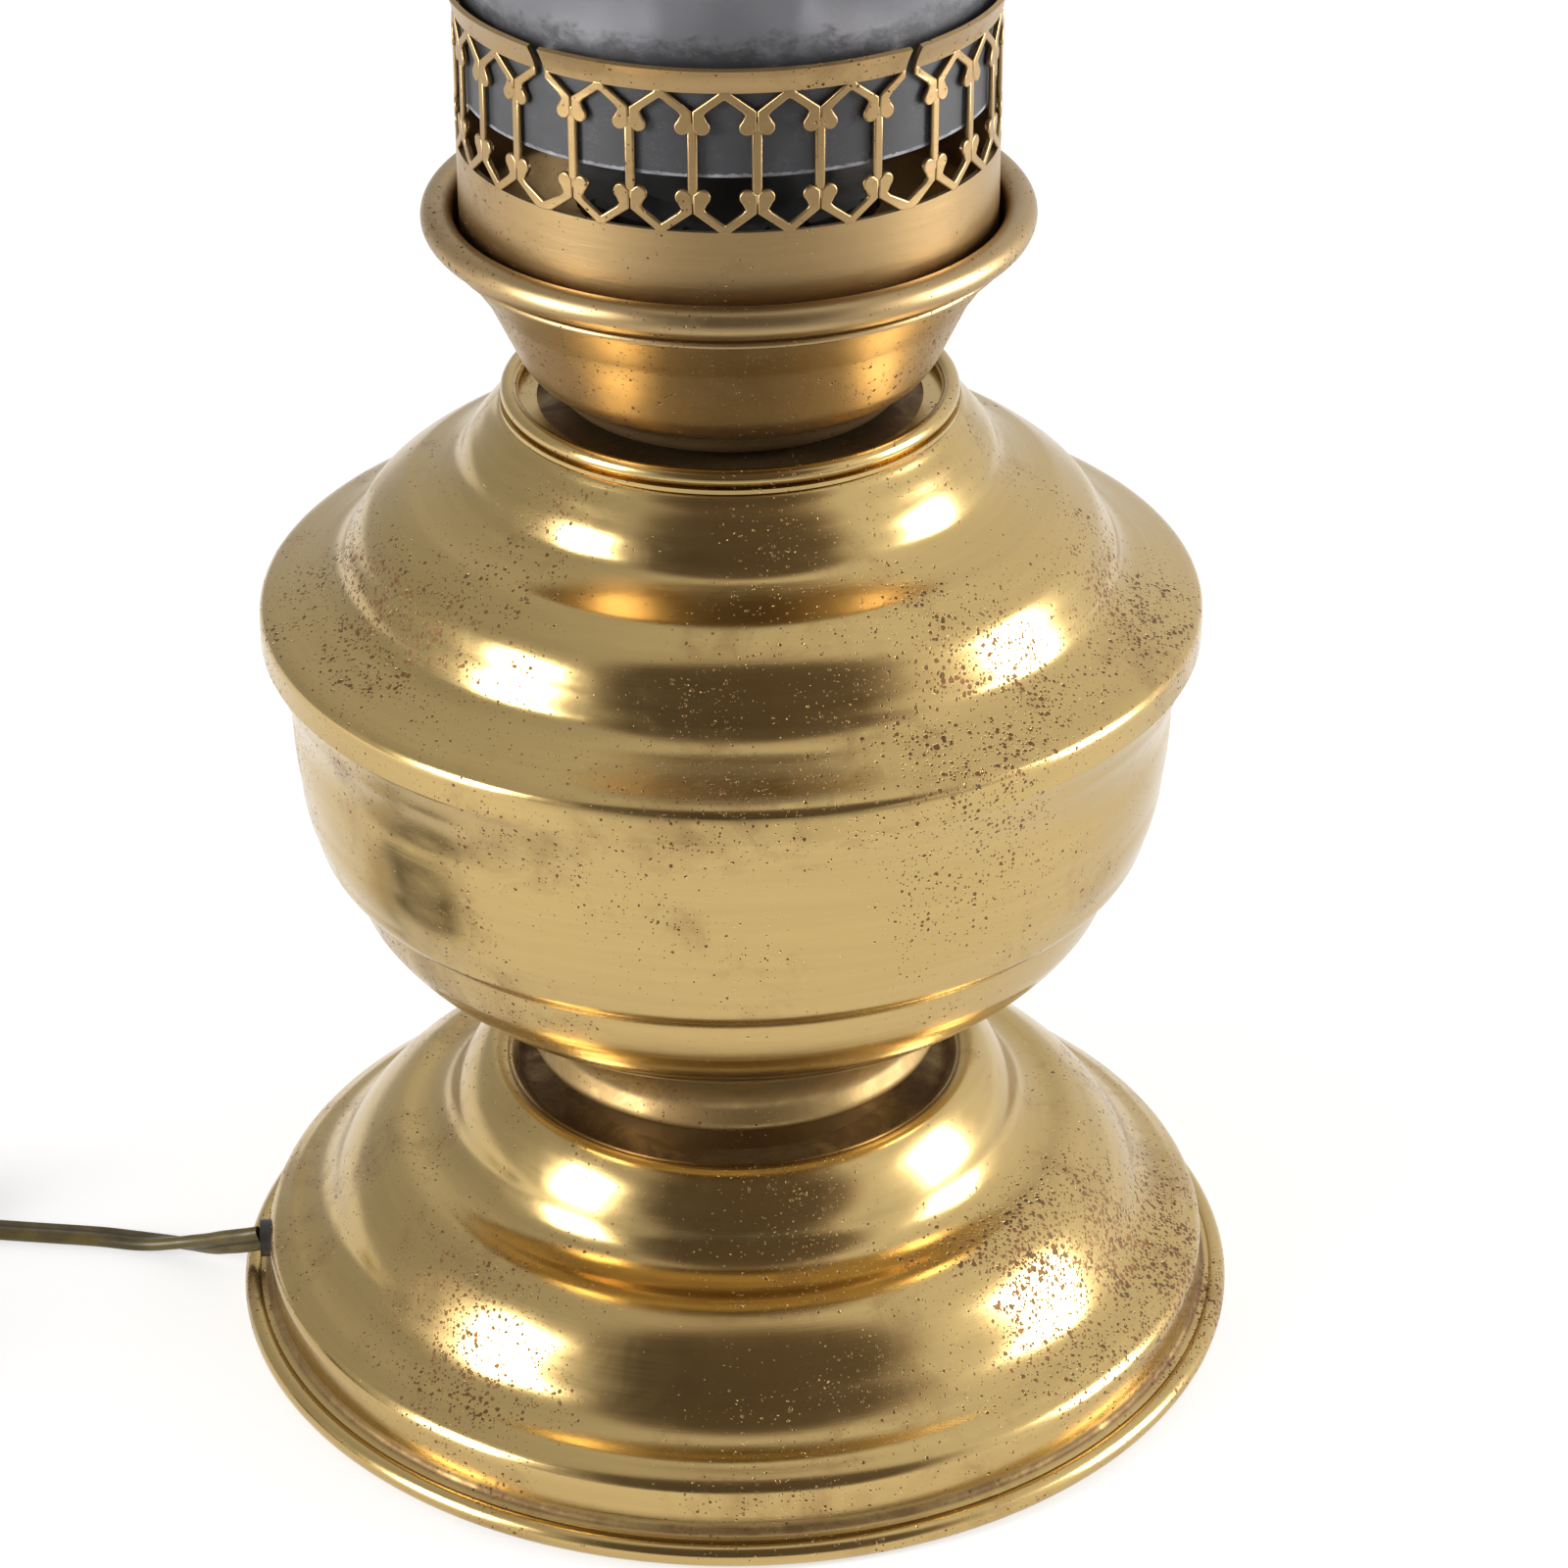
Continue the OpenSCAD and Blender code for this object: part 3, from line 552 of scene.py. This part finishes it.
def add_grime_and_shade(obj, r0, r1, z0, z1, depth, fade=1.2):
    """Grime and painted shade on what lies within a ring of radii and heights, in mm."""
    layer = obj.data.attributes["hollow"]
    for v in obj.data.vertices:
        r, z = math.hypot(v.co.x, v.co.y) / MM, v.co.z / MM
        inside = min(r - r0, r1 - r, z - z0, z1 - z)
        if inside > -fade:
            here = depth * min(1.0, 1 + inside / fade)
            layer.data[v.index].value = max(layer.data[v.index].value, here)


# ---- Foot, font and burner cup ----
GOLD, BROWN = (0.52, 0.37, 0.15), (0.27, 0.16, 0.065)
TAN, TAN_STAIN = (0.39, 0.272, 0.13), (0.28, 0.19, 0.10)
LACE_TAN, LACE_STAIN = (0.39, 0.262, 0.12), (0.2, 0.12, 0.055)
CROWDS = (
    (0.045, -0.080, 0.138, 0.026), (0.048, -0.056, 0.168, 0.028), (-0.050, -0.048, 0.172, 0.030),
    (-0.075, -0.020, 0.160, 0.030), (0.070, -0.015, 0.166, 0.026), (0.062, -0.050, 0.030, 0.030),
    (-0.045, -0.070, 0.024, 0.022), (0.085, -0.020, 0.018, 0.030),
)
polished = brass("polished_brass", GOLD, BROWN, rough=0.2, spin=0.7, pits=0.2, blotch=0.55, patches=CROWDS)
dull = brass("dull_brass", TAN, TAN_STAIN, rough=0.36, spin=1.4, pits=0.3, blotch=0.6)
gallery_brass = brass("gallery_brass", LACE_TAN, LACE_STAIN, rough=0.35, spin=1.6, pits=0.12, blotch=0.6)

FOOT_ROLL = disc_loop(100.1, 2.4, 2.4)
CUP_ROLL, CUP_BEAD = disc_loop(54.2, 237.8, 3), disc_loop(52.1, 232.6, 0.8, 20)
COLLAR_BEAD = disc_loop(41.8, 201.9, 1.7, 32)
COLLAR_SEAT = [(36.6, 199.6), (43.8, 199.6), (43.8, 200.4), (36.6, 200.4)]

foot = shell("foot", FOOT_STOPS, "foot_shell", polished, extra=[FOOT_ROLL])
# Grime and painted shade in the foot's neck under the font, and in the groove above its roll
add_grime_and_shade(foot, 0, 43.8, 50, 57, 1.0, 0.6)
add_grime_and_shade(foot, 96.6, 97.9, 4.5, 6.4, 1.0, 0.4)
bowl = shell("font_bowl_brass", BOWL_STOPS, "font_bowl", polished, ease=0.5)
# Grime and painted shade on the font's neck
add_grime_and_shade(bowl, 30, 42.5, 60.4, 71.5, 0.75, 0.8)
dome = shell("font_dome_brass", DOME_STOPS, "font_dome", polished)
# Grime and painted shade in the well under the collar
add_grime_and_shade(dome, 0, 36.4, 198, 201, 1.0)
cup = shell("cup", CUP_STOPS, "burner_cup", dull, ease=0.4, extra=[CUP_ROLL, CUP_BEAD])
# Grime and painted shade on the cup's base
add_grime_and_shade(cup, 0, 36, 201, 205.6, 0.8)
collar = lathe("collar", [COLLAR_BEAD, COLLAR_SEAT], "lamp")
stands_for(collar, "collar_ring", polished)

# ---- Gallery, in mm and degrees ----
OPEN_LOW, OPEN_HIGH, GALLERY_TOP, GALLERY_R, GALLERY_WALL = 253.1, 278.8, 283.2, 50.1, 0.9
PITCH_TURN, SLIT_TURN, SECTIONS, FIRST_SLIT = 12.975, 15.385, (6, 7, 7, 7), 229.8
LACE_THICK, ARM_BEVEL, BAR_BEVEL = 1.0, 0.28, 0.4
slit_angles, bar_angles = [], []
at = FIRST_SLIT
for count in SECTIONS:
    slit_angles.append(at)
    bar_angles.append([at + SLIT_TURN / 2 + i * PITCH_TURN for i in range(count)])
    at += count * PITCH_TURN + SLIT_TURN - PITCH_TURN


def flat_piece(name, points, bevel):
    """A flat piece in the (across, up) plane with rounded edges, as vertices and faces in mm."""
    data = bpy.data.curves.new(name, "CURVE")
    data.dimensions = "2D"
    data.fill_mode = "BOTH"
    data.extrude = LACE_THICK / 2 - bevel
    data.bevel_depth = bevel
    data.bevel_resolution = 2
    data.offset = -bevel
    spline = data.splines.new("POLY")
    spline.points.add(len(points) - 1)
    for p, q in zip(spline.points, points):
        p.co = (q[0], q[1], 0, 1)
    spline.use_cyclic_u = True
    obj = bpy.data.objects.new(name, data)
    scene.collection.objects.link(obj)
    mesh = bpy.data.meshes.new_from_object(obj)
    verts = [v.co.copy() for v in mesh.vertices]
    faces = [tuple(f.vertices) for f in mesh.polygons]
    bpy.data.objects.remove(obj)
    bpy.data.curves.remove(data)
    bpy.data.meshes.remove(mesh)
    return verts, faces


# One arm under the band, left of its bar: along the band's edge, down to the bar, round into its curl
HALF = GALLERY_R * math.radians(PITCH_TURN) / 2
SLOPE, NODE_DOWN, ARM_H, CURL_R, CURL_X, CURL_DOWN, SEAM = 0.723, 3.4, 2.0, 1.45, 1.72, 6.4, 0.07
CURL_TURNS = [math.radians(a) for a in range(-35, -241, -15)]
ARM = (
    [(-HALF - 0.35, 0.35), (-NODE_DOWN / SLOPE, 0.35), (-NODE_DOWN / SLOPE + 0.2, -0.12), (-SEAM, -NODE_DOWN)]
    + [(-SEAM, -CURL_DOWN - 0.5)]
    + [(-CURL_X + CURL_R * math.cos(t), -CURL_DOWN + CURL_R * math.sin(t)) for t in CURL_TURNS]
    + [(-2.05, -NODE_DOWN - ARM_H + SLOPE * 2.05 - 0.25), (-2.6, -NODE_DOWN - ARM_H + SLOPE * 2.6)]
    + [(-HALF + 0.25, -1.42), (-HALF - 0.35, -1.25)]
)
# Beside a slit the upper arm stops short of it, and the lower one reaches across
SLIT_ARM = [(x if x > -HALF - 0.3 else x + 0.35, y) for x, y in ARM]
LOW_SLIT_ARM = [(x - 1.0 if x < -HALF + 1 else x, y) for x, y in ARM]
BAR_HALF, BAR_END = 0.92, 5.2
BAR_TOP = OPEN_HIGH - OPEN_LOW - BAR_END
BAR = [(-BAR_HALF, BAR_END), (BAR_HALF, BAR_END), (BAR_HALF, BAR_TOP), (-BAR_HALF, BAR_TOP)]
ARM_DEPTH, BAR_DEPTH = GALLERY_R - 0.45, GALLERY_R - 0.55


def wrapped(verts, angle, z0, flip_x=False, flip_z=False, r_mid=ARM_DEPTH):
    """Flat points laid on the gallery's wall: across becomes the turn, up the height, depth the radius."""
    out = []
    for v in verts:
        across = -v.x if flip_x else v.x
        up = -v.y if flip_z else v.y
        a = math.radians(angle) + across / GALLERY_R
        r = r_mid + v.z
        out.append((r * math.cos(a) * MM, r * math.sin(a) * MM, (z0 + up) * MM))
    return out


lace_verts, lace_faces = [], []


def put(verts, faces):
    base = len(lace_verts)
    lace_verts.extend(verts)
    lace_faces.extend(tuple(base + i for i in f) for f in faces)


arm = flat_piece("arm", ARM, ARM_BEVEL)
slit_arm = flat_piece("slit_arm", SLIT_ARM, ARM_BEVEL)
low_slit_arm = flat_piece("low_slit_arm", LOW_SLIT_ARM, ARM_BEVEL)
bar = flat_piece("bar", BAR, BAR_BEVEL)
for section in bar_angles:
    for i, angle in enumerate(section):
        put(wrapped(bar[0], angle, OPEN_LOW, r_mid=BAR_DEPTH), bar[1])
        for flip in (False, True):
            # Angle grows to the left as seen from outside, so an unflipped arm reaches to lower angles
            at_slit = (i == 0 and not flip) or (i == len(section) - 1 and flip)
            upper, lower = (slit_arm, low_slit_arm) if at_slit else (arm, arm)
            put(wrapped(upper[0], angle, OPEN_HIGH, flip), upper[1])
            put(wrapped(lower[0], angle, OPEN_LOW, flip, True), lower[1])

# The sprung band over the open work, in four lengths with slits between them
SLIT_HALF, BAND_STEPS, BAND_LIFT, LIFT_STEPS = 1.1, 64, 0.35, 7
BAND_STOPS = [
    (GALLERY_R, OPEN_HIGH), (GALLERY_R + 0.2, 280), (GALLERY_R + 0.8, 281.7), (GALLERY_R + 1.5, GALLERY_TOP),
]
band_line = resampled(eased([Vector(p) for p in BAND_STOPS], 0.5), 0.5)
band_loop = sheet_loop(band_line, GALLERY_WALL)
n = len(band_loop)
slit_turn = math.degrees(SLIT_HALF / GALLERY_R)
for start, end in zip(slit_angles, [*slit_angles[1:], slit_angles[0] + 360]):
    a0, a1 = start + slit_turn, end - slit_turn
    verts = []
    for s in range(BAND_STEPS + 1):
        a = math.radians(a0 + (a1 - a0) * s / BAND_STEPS)
        # The ends of each length stand a little proud, as the sprung ones do
        lift = BAND_LIFT * (max(0.0, 1 - min(s, BAND_STEPS - s) / LIFT_STEPS) ** 2)
        for p in band_loop:
            r = p[0] + lift * max(0, (p[1] - OPEN_HIGH) / 4)
            verts.append((r * math.cos(a) * MM, r * math.sin(a) * MM, p[1] * MM))
    faces = [tuple(range(n)), tuple(reversed(range(BAND_STEPS * n, BAND_STEPS * n + n)))]
    for s in range(BAND_STEPS):
        for i in range(n):
            j = (i + 1) % n
            faces.append((s * n + i, (s + 1) * n + i, (s + 1) * n + j, s * n + j))
    put(verts, faces)

lace = mesh_object("gallery_lace", lace_verts, lace_faces, "lamp", sharp=60)
paint(lace, gallery_brass)
wall_line = resampled(eased(outline(PAN_STOPS), 0.5), LINE_STEP)
basket = lathe("gallery_basket", [sheet_loop(wall_line, GALLERY_WALL)], "lamp")
stands_for(basket, "gallery", gallery_brass)

# ---- Glass and bulb ----
GLASS_WALL, BULB_WALL = 2.6, 0.8
# Where the chipped ground edge lies, and the heights between which the black film of soot and painted shade
# thins out, in metres
GROUND_EDGE, SOOT_AND_SHADE_LINE = (0.2634, 0.0005), (0.283, 0.2885)
smoky = clear_glass("smoky_glass", (0.5, 0.5, 0.54), 0.22, ground=GROUND_EDGE, soot_and_shade=SOOT_AND_SHADE_LINE, clear=0.86)
glass_line = resampled(eased(outline(GLASS_STOPS), 3.0), 1.5)
glass = lathe("glass", [sheet_loop(glass_line, GLASS_WALL)], "glass")
stands_for(glass, "glass_chimney", smoky)

bulb_line = resampled(eased(outline(BULB_STOPS), 1.2), 0.8)
bulb = lathe("bulb", [sheet_loop(bulb_line, BULB_WALL)], "bulb", turns=96)
stands_for(bulb, "bulb_glass", clear_glass("frosted_glass", (0.93, 0.93, 0.92), 0.35))

# ---- CAD pieces that stay, with their own finish ----
steel = metal("zinc_steel", (0.42, 0.42, 0.41), 0.38)
nickel = metal("nickel", (0.62, 0.60, 0.56), 0.22)
iron = metal("cast_iron", (0.09, 0.088, 0.085), 0.6, 0.8)
plain_brass = metal("plain_brass", (0.62, 0.46, 0.2), 0.3)
black = plastic("black_moulding", (0.018, 0.017, 0.016), 0.42)
black_rubber = plastic("black_rubber", (0.02, 0.02, 0.021), 0.6, 0.5)
ivory = plastic("ivory_moulding", srgb(222, 212, 184), 0.3, 0.15, 0.1)
porcelain = plastic("porcelain", srgb(226, 222, 210), 0.2, 0.05, 0.1)
filament = plastic("filament_coating", srgb(236, 200, 120), 0.4)
black_glass = plastic("black_glass", (0.02, 0.02, 0.022), 0.12, 0.05, 0.05)
olive = flex_skin("flex_skin")
finishes = (
    (steel, "base_plate central_rod base_nut base_washer cup_washer gallery_spacer lock_nut"),
    (steel, "cord_grip_screws terminal_screws switch_screws switch_pivot"),
    (nickel, "bulb_cap bulb_contact plug_pins"),
    (iron, "foot_weight"),
    (plain_brass, "holder_shell holder_contact"),
    (dull, "neck_spacer"),
    (black, "holder_cap holder_body shade_ring cord_bush coil_tie"),
    (black_rubber, "plug_body plug_sleeves"),
    (porcelain, "holder_insert cord_grip"),
    (ivory, "switch_base switch_cover switch_rocker"),
    (filament, "bulb_filament"),
    (black_glass, "bulb_insulator"),
    (clear_glass("stem_glass", (0.93, 0.95, 0.94), 0.03), "bulb_stem"),
    (baize("baize"), "base_board"),
    (olive, "inner_flex"),
)
for material, names in finishes:
    for node in names.split():
        repaint(node, material)


# ---- The free flex: its route in metres ----
TO_SWITCH = [
    (-0.0987, -0.0064, 0.0106), (-0.101, -0.0059, 0.0098), (-0.104, -0.0046, 0.0085), (-0.107, -0.003, 0.0071),
    (-0.110, -0.0012, 0.0055), (-0.114, 0.0011, 0.004), (-0.1185, 0.0029, 0.0029), (-0.1225, 0.0043, 0.0021),
    (-0.127, 0.0056, 0.0016), (-0.1345, 0.0073, 0.0014), (-0.1455, 0.0086, 0.0014), (-0.155, 0.0097, 0.0014),
    (-0.161, 0.010, 0.0019), (-0.167, 0.010, 0.0033), (-0.174, 0.010, 0.0045),
]
TO_COIL = [
    (-0.232, 0.010, 0.0045), (-0.237, 0.0098, 0.004), (-0.242, 0.0084, 0.0031), (-0.247, 0.0052, 0.0024),
    (-0.251, 0.0006, 0.0021), (-0.2538, -0.005, 0.0021), (-0.255, -0.012, 0.0021), (-0.2554, -0.022, 0.0021),
    (-0.2554, -0.034, 0.0021), (-0.2551, -0.046, 0.0021),
]
TO_PLUG = [
    (-0.216, -0.0815, 0.0082), (-0.2075, -0.080, 0.0089), (-0.200, -0.076, 0.010), (-0.1945, -0.069, 0.0112),
    (-0.1918, -0.060, 0.0122), (-0.1915, -0.050, 0.0136), (-0.1936, -0.041, 0.0154), (-0.198, -0.034, 0.0166),
    (-0.204, -0.0295, 0.017), (-0.210, -0.028, 0.017),
]
COIL_X, COIL_Y, COIL_LOW, COIL_STEP = -0.216, -0.056, 0.0021, 0.003
COIL_IN, COIL_OUT, COIL_END = 0.0245, 0.039, 0.0255
COIL_FIRST, COIL_LAST, COIL_CLIMB = 172.0, 270.0 + 7 * 360, 45.0    # degrees
FLEX_WIDE, FLEX_THICK = 0.0054, 0.0027
TWIST_FROM, TWIST_RUN = 0.004, 0.030


def coil_points():
    """Three levels of flat turns, inwards, outwards and inwards again, 24 points a turn."""
    whole = COIL_LAST - COIL_FIRST
    level = whole / 3
    flat = level - COIL_CLIMB
    points = []
    steps = int(whole / 15)
    for i in range(steps):
        turn = whole * i / steps
        k = min(2, int(turn / level))
        f = min(1.0, (turn - k * level) / flat) if k < 2 else (turn - 2 * level) / level
        r0, r1 = ((COIL_OUT, COIL_IN), (COIL_IN, COIL_OUT), (COIL_OUT, COIL_END))[k]
        rise = max(0.0, (turn - k * level - flat) / COIL_CLIMB) if k < 2 else 0.0
        rise = rise * rise * (3 - 2 * rise)
        a = math.radians(COIL_FIRST + turn)
        r = r0 + (r1 - r0) * f
        points.append((COIL_X + r * math.cos(a), COIL_Y + r * math.sin(a), COIL_LOW + COIL_STEP * (k + rise)))
    return points


def smooth_line(points, step=0.0012):
    """A Catmull-Rom line through the points, evenly spaced."""
    p = [Vector(q) for q in points]
    p = [p[0] * 2 - p[1], *p, p[-1] * 2 - p[-2]]
    dense = []
    for a, b, c, d in zip(p, p[1:], p[2:], p[3:]):
        for i in range(12):
            t = i / 12
            square, cube = 2 * a - 5 * b + 4 * c - d, 3 * b - a - 3 * c + d
            dense.append(0.5 * ((2 * b) + (c - a) * t + square * t * t + cube * t * t * t))
    return resampled([*dense, p[-2]], step)


def flex_ring(lobes=10):
    """The twin flex's outline as (across, up) with its groove along both faces, in half widths."""
    half, wide = FLEX_THICK / 2, FLEX_WIDE / 2 - FLEX_THICK / 2
    ring = []
    for i in range(lobes + 1):
        a = math.radians(-118 + 236 * i / lobes)
        ring.append((wide + half * math.cos(a), half * math.sin(a)))
    for i in range(lobes + 1):
        a = math.radians(62 + 236 * i / lobes)
        ring.append((-wide + half * math.cos(a), half * math.sin(a)))
    return ring


flex_path = smooth_line([*TO_SWITCH, *TO_COIL, *coil_points(), *TO_PLUG])
ring = flex_ring()
flex_verts, flex_faces, across = [], [], []
run = 0.0
UP = Vector((0, 0, 1))
for i, p in enumerate(flex_path):
    way = unit(flex_path[min(i + 1, len(flex_path) - 1)] - flex_path[max(i - 1, 0)])
    if i:
        run += (p - flex_path[i - 1]).length
    side = unit(UP.cross(way))
    up = way.cross(side)
    # It leaves the slot standing on edge and lies down within the first few centimetres
    f = min(1.0, max(0.0, (run - TWIST_FROM) / TWIST_RUN))
    twist = math.radians(90) * (1 - f * f * (3 - 2 * f))
    c, s = math.cos(twist), math.sin(twist)
    for u, v in ring:
        flex_verts.append(p + side * (u * c - v * s) + up * (u * s + v * c))
        across.append(u / (FLEX_WIDE / 2))
n = len(ring)
for i in range(len(flex_path) - 1):
    for k in range(n):
        j = (k + 1) % n
        flex_faces.append((i * n + k, i * n + j, (i + 1) * n + j, (i + 1) * n + k))
flex_faces += [tuple(range(n)), tuple(reversed(range((len(flex_path) - 1) * n, len(flex_path) * n)))]
flex = mesh_object("flex", flex_verts, flex_faces, "lamp", sharp=80)
layer = flex.data.attributes.new("across", "FLOAT", "POINT")
for k, value in enumerate(across):
    layer.data[k].value = value
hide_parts("flex_to_switch", "flex_to_coil", "flex_coil", "flex_to_plug")
paint(flex, olive)

# ---- Floor and light ----
FLOOR_HALF, FLOOR_DOWN, FLOOR_GLOW = 3, -0.0004, 0.6
FLOOR_NEAR, FLOOR_FRONT, FRONT_GLOW = -0.26, -0.6, 0.06
floor_mesh = bpy.data.meshes.new("floor")
corners = ((-1, -1), (1, -1), (1, 1), (-1, 1))
floor_mesh.from_pydata([(x * FLOOR_HALF, y * FLOOR_HALF, FLOOR_DOWN) for x, y in corners], [], [(0, 1, 2, 3)])
floor = bpy.data.objects.new("floor", floor_mesh)
scene.collection.objects.link(floor)
n_floor = Nodes("floor")
floor_at, _, floor_y, *_ = n_floor.place()
pale = n_floor.ramp(n_floor.noise(floor_at, 2.0), 0.2, 0.8)
n_floor.link(n_floor.mix(pale, (0.38,) * 3, (0.42,) * 3), n_floor.shader.inputs["Base Color"])
n_floor.shader.inputs["Roughness"].default_value = 0.9
n_floor.shader.inputs["Emission Color"].default_value = (1, 1, 1, 1)
# Lit from below like a studio table, less so towards the front
glow = n_floor.ramp(floor_y, FLOOR_FRONT, FLOOR_NEAR, FRONT_GLOW, FLOOR_GLOW)
n_floor.link(glow, n_floor.shader.inputs["Emission Strength"])
paint(floor, n_floor.material)

LIGHT_CENTRE, LIGHT_AWAY = Vector((0, 0, 0.15)), 1.6


def soft_box(name, way, size, power):
    """A rectangular light on the line from the lamp along way."""
    data = bpy.data.lights.new(name, "AREA")
    data.shape = "RECTANGLE"
    data.size, data.size_y = size
    data.energy = power
    light = bpy.data.objects.new(name, data)
    scene.collection.objects.link(light)
    direction = Vector(way).normalized()
    light.location = LIGHT_CENTRE + direction * LIGHT_AWAY
    light.rotation_euler = direction.to_track_quat("Z", "Y").to_euler()


soft_box("left_box", (-0.85, -0.44, 0.26), (0.54, 0.9), 32)
soft_box("right_box", (0.98, 0.0, 0.18), (0.6, 0.9), 31)

world = bpy.data.worlds.new("world")
world.use_nodes = True
scene.world = world
world_tree = world.node_tree
background = world_tree.nodes["Background"]
to_sky = world_tree.nodes.new("ShaderNodeTexCoord")


def sky_patch(way, near, far, low, high):
    """A value that goes from low within near of a direction to high beyond far, in degrees."""
    dot = world_tree.nodes.new("ShaderNodeVectorMath")
    dot.operation = "DOT_PRODUCT"
    world_tree.links.new(to_sky.outputs["Generated"], dot.inputs[0])
    dot.inputs[1].default_value = Vector(way).normalized()
    fade = world_tree.nodes.new("ShaderNodeMapRange")
    fade.interpolation_type = "SMOOTHSTEP"
    fade.inputs["From Min"].default_value = math.cos(math.radians(far))
    fade.inputs["From Max"].default_value = math.cos(math.radians(near))
    fade.inputs["To Min"].default_value = high
    fade.inputs["To Max"].default_value = low
    world_tree.links.new(dot.outputs["Value"], fade.inputs["Value"])
    return fade.outputs["Result"]


def sky_product(a, b):
    node = world_tree.nodes.new("ShaderNodeMath")
    node.operation = "MULTIPLY"
    world_tree.links.new(a, node.inputs[0])
    world_tree.links.new(b, node.inputs[1])
    return node.outputs[0]


# A pale studio, brighter to the right, with a dim and warm room behind the camera
ROOM_WAY, WINDOW_WAY, BELOW_WAY = (0.08, -0.84, 0.54), (1, 0, 0.3), (0, -0.8, -0.6)
ROOM_WARM = (1, 0.8, 0.7, 1)
sky = sky_product(sky_patch(ROOM_WAY, 33, 46, 0.115, 0.72), sky_patch(WINDOW_WAY, 20, 140, 1.5, 0.72))
sky = sky_product(sky, sky_patch(BELOW_WAY, 34, 52, 0.3, 1.0))
world_tree.links.new(sky, background.inputs["Strength"])
warmth = world_tree.nodes.new("ShaderNodeMix")
warmth.data_type = "RGBA"
warmth.inputs[6].default_value = (1, 1, 1, 1)
warmth.inputs[7].default_value = ROOM_WARM
world_tree.links.new(sky_patch(ROOM_WAY, 33, 47, 1, 0), warmth.inputs[0])
world_tree.links.new(warmth.outputs[2], background.inputs["Color"])
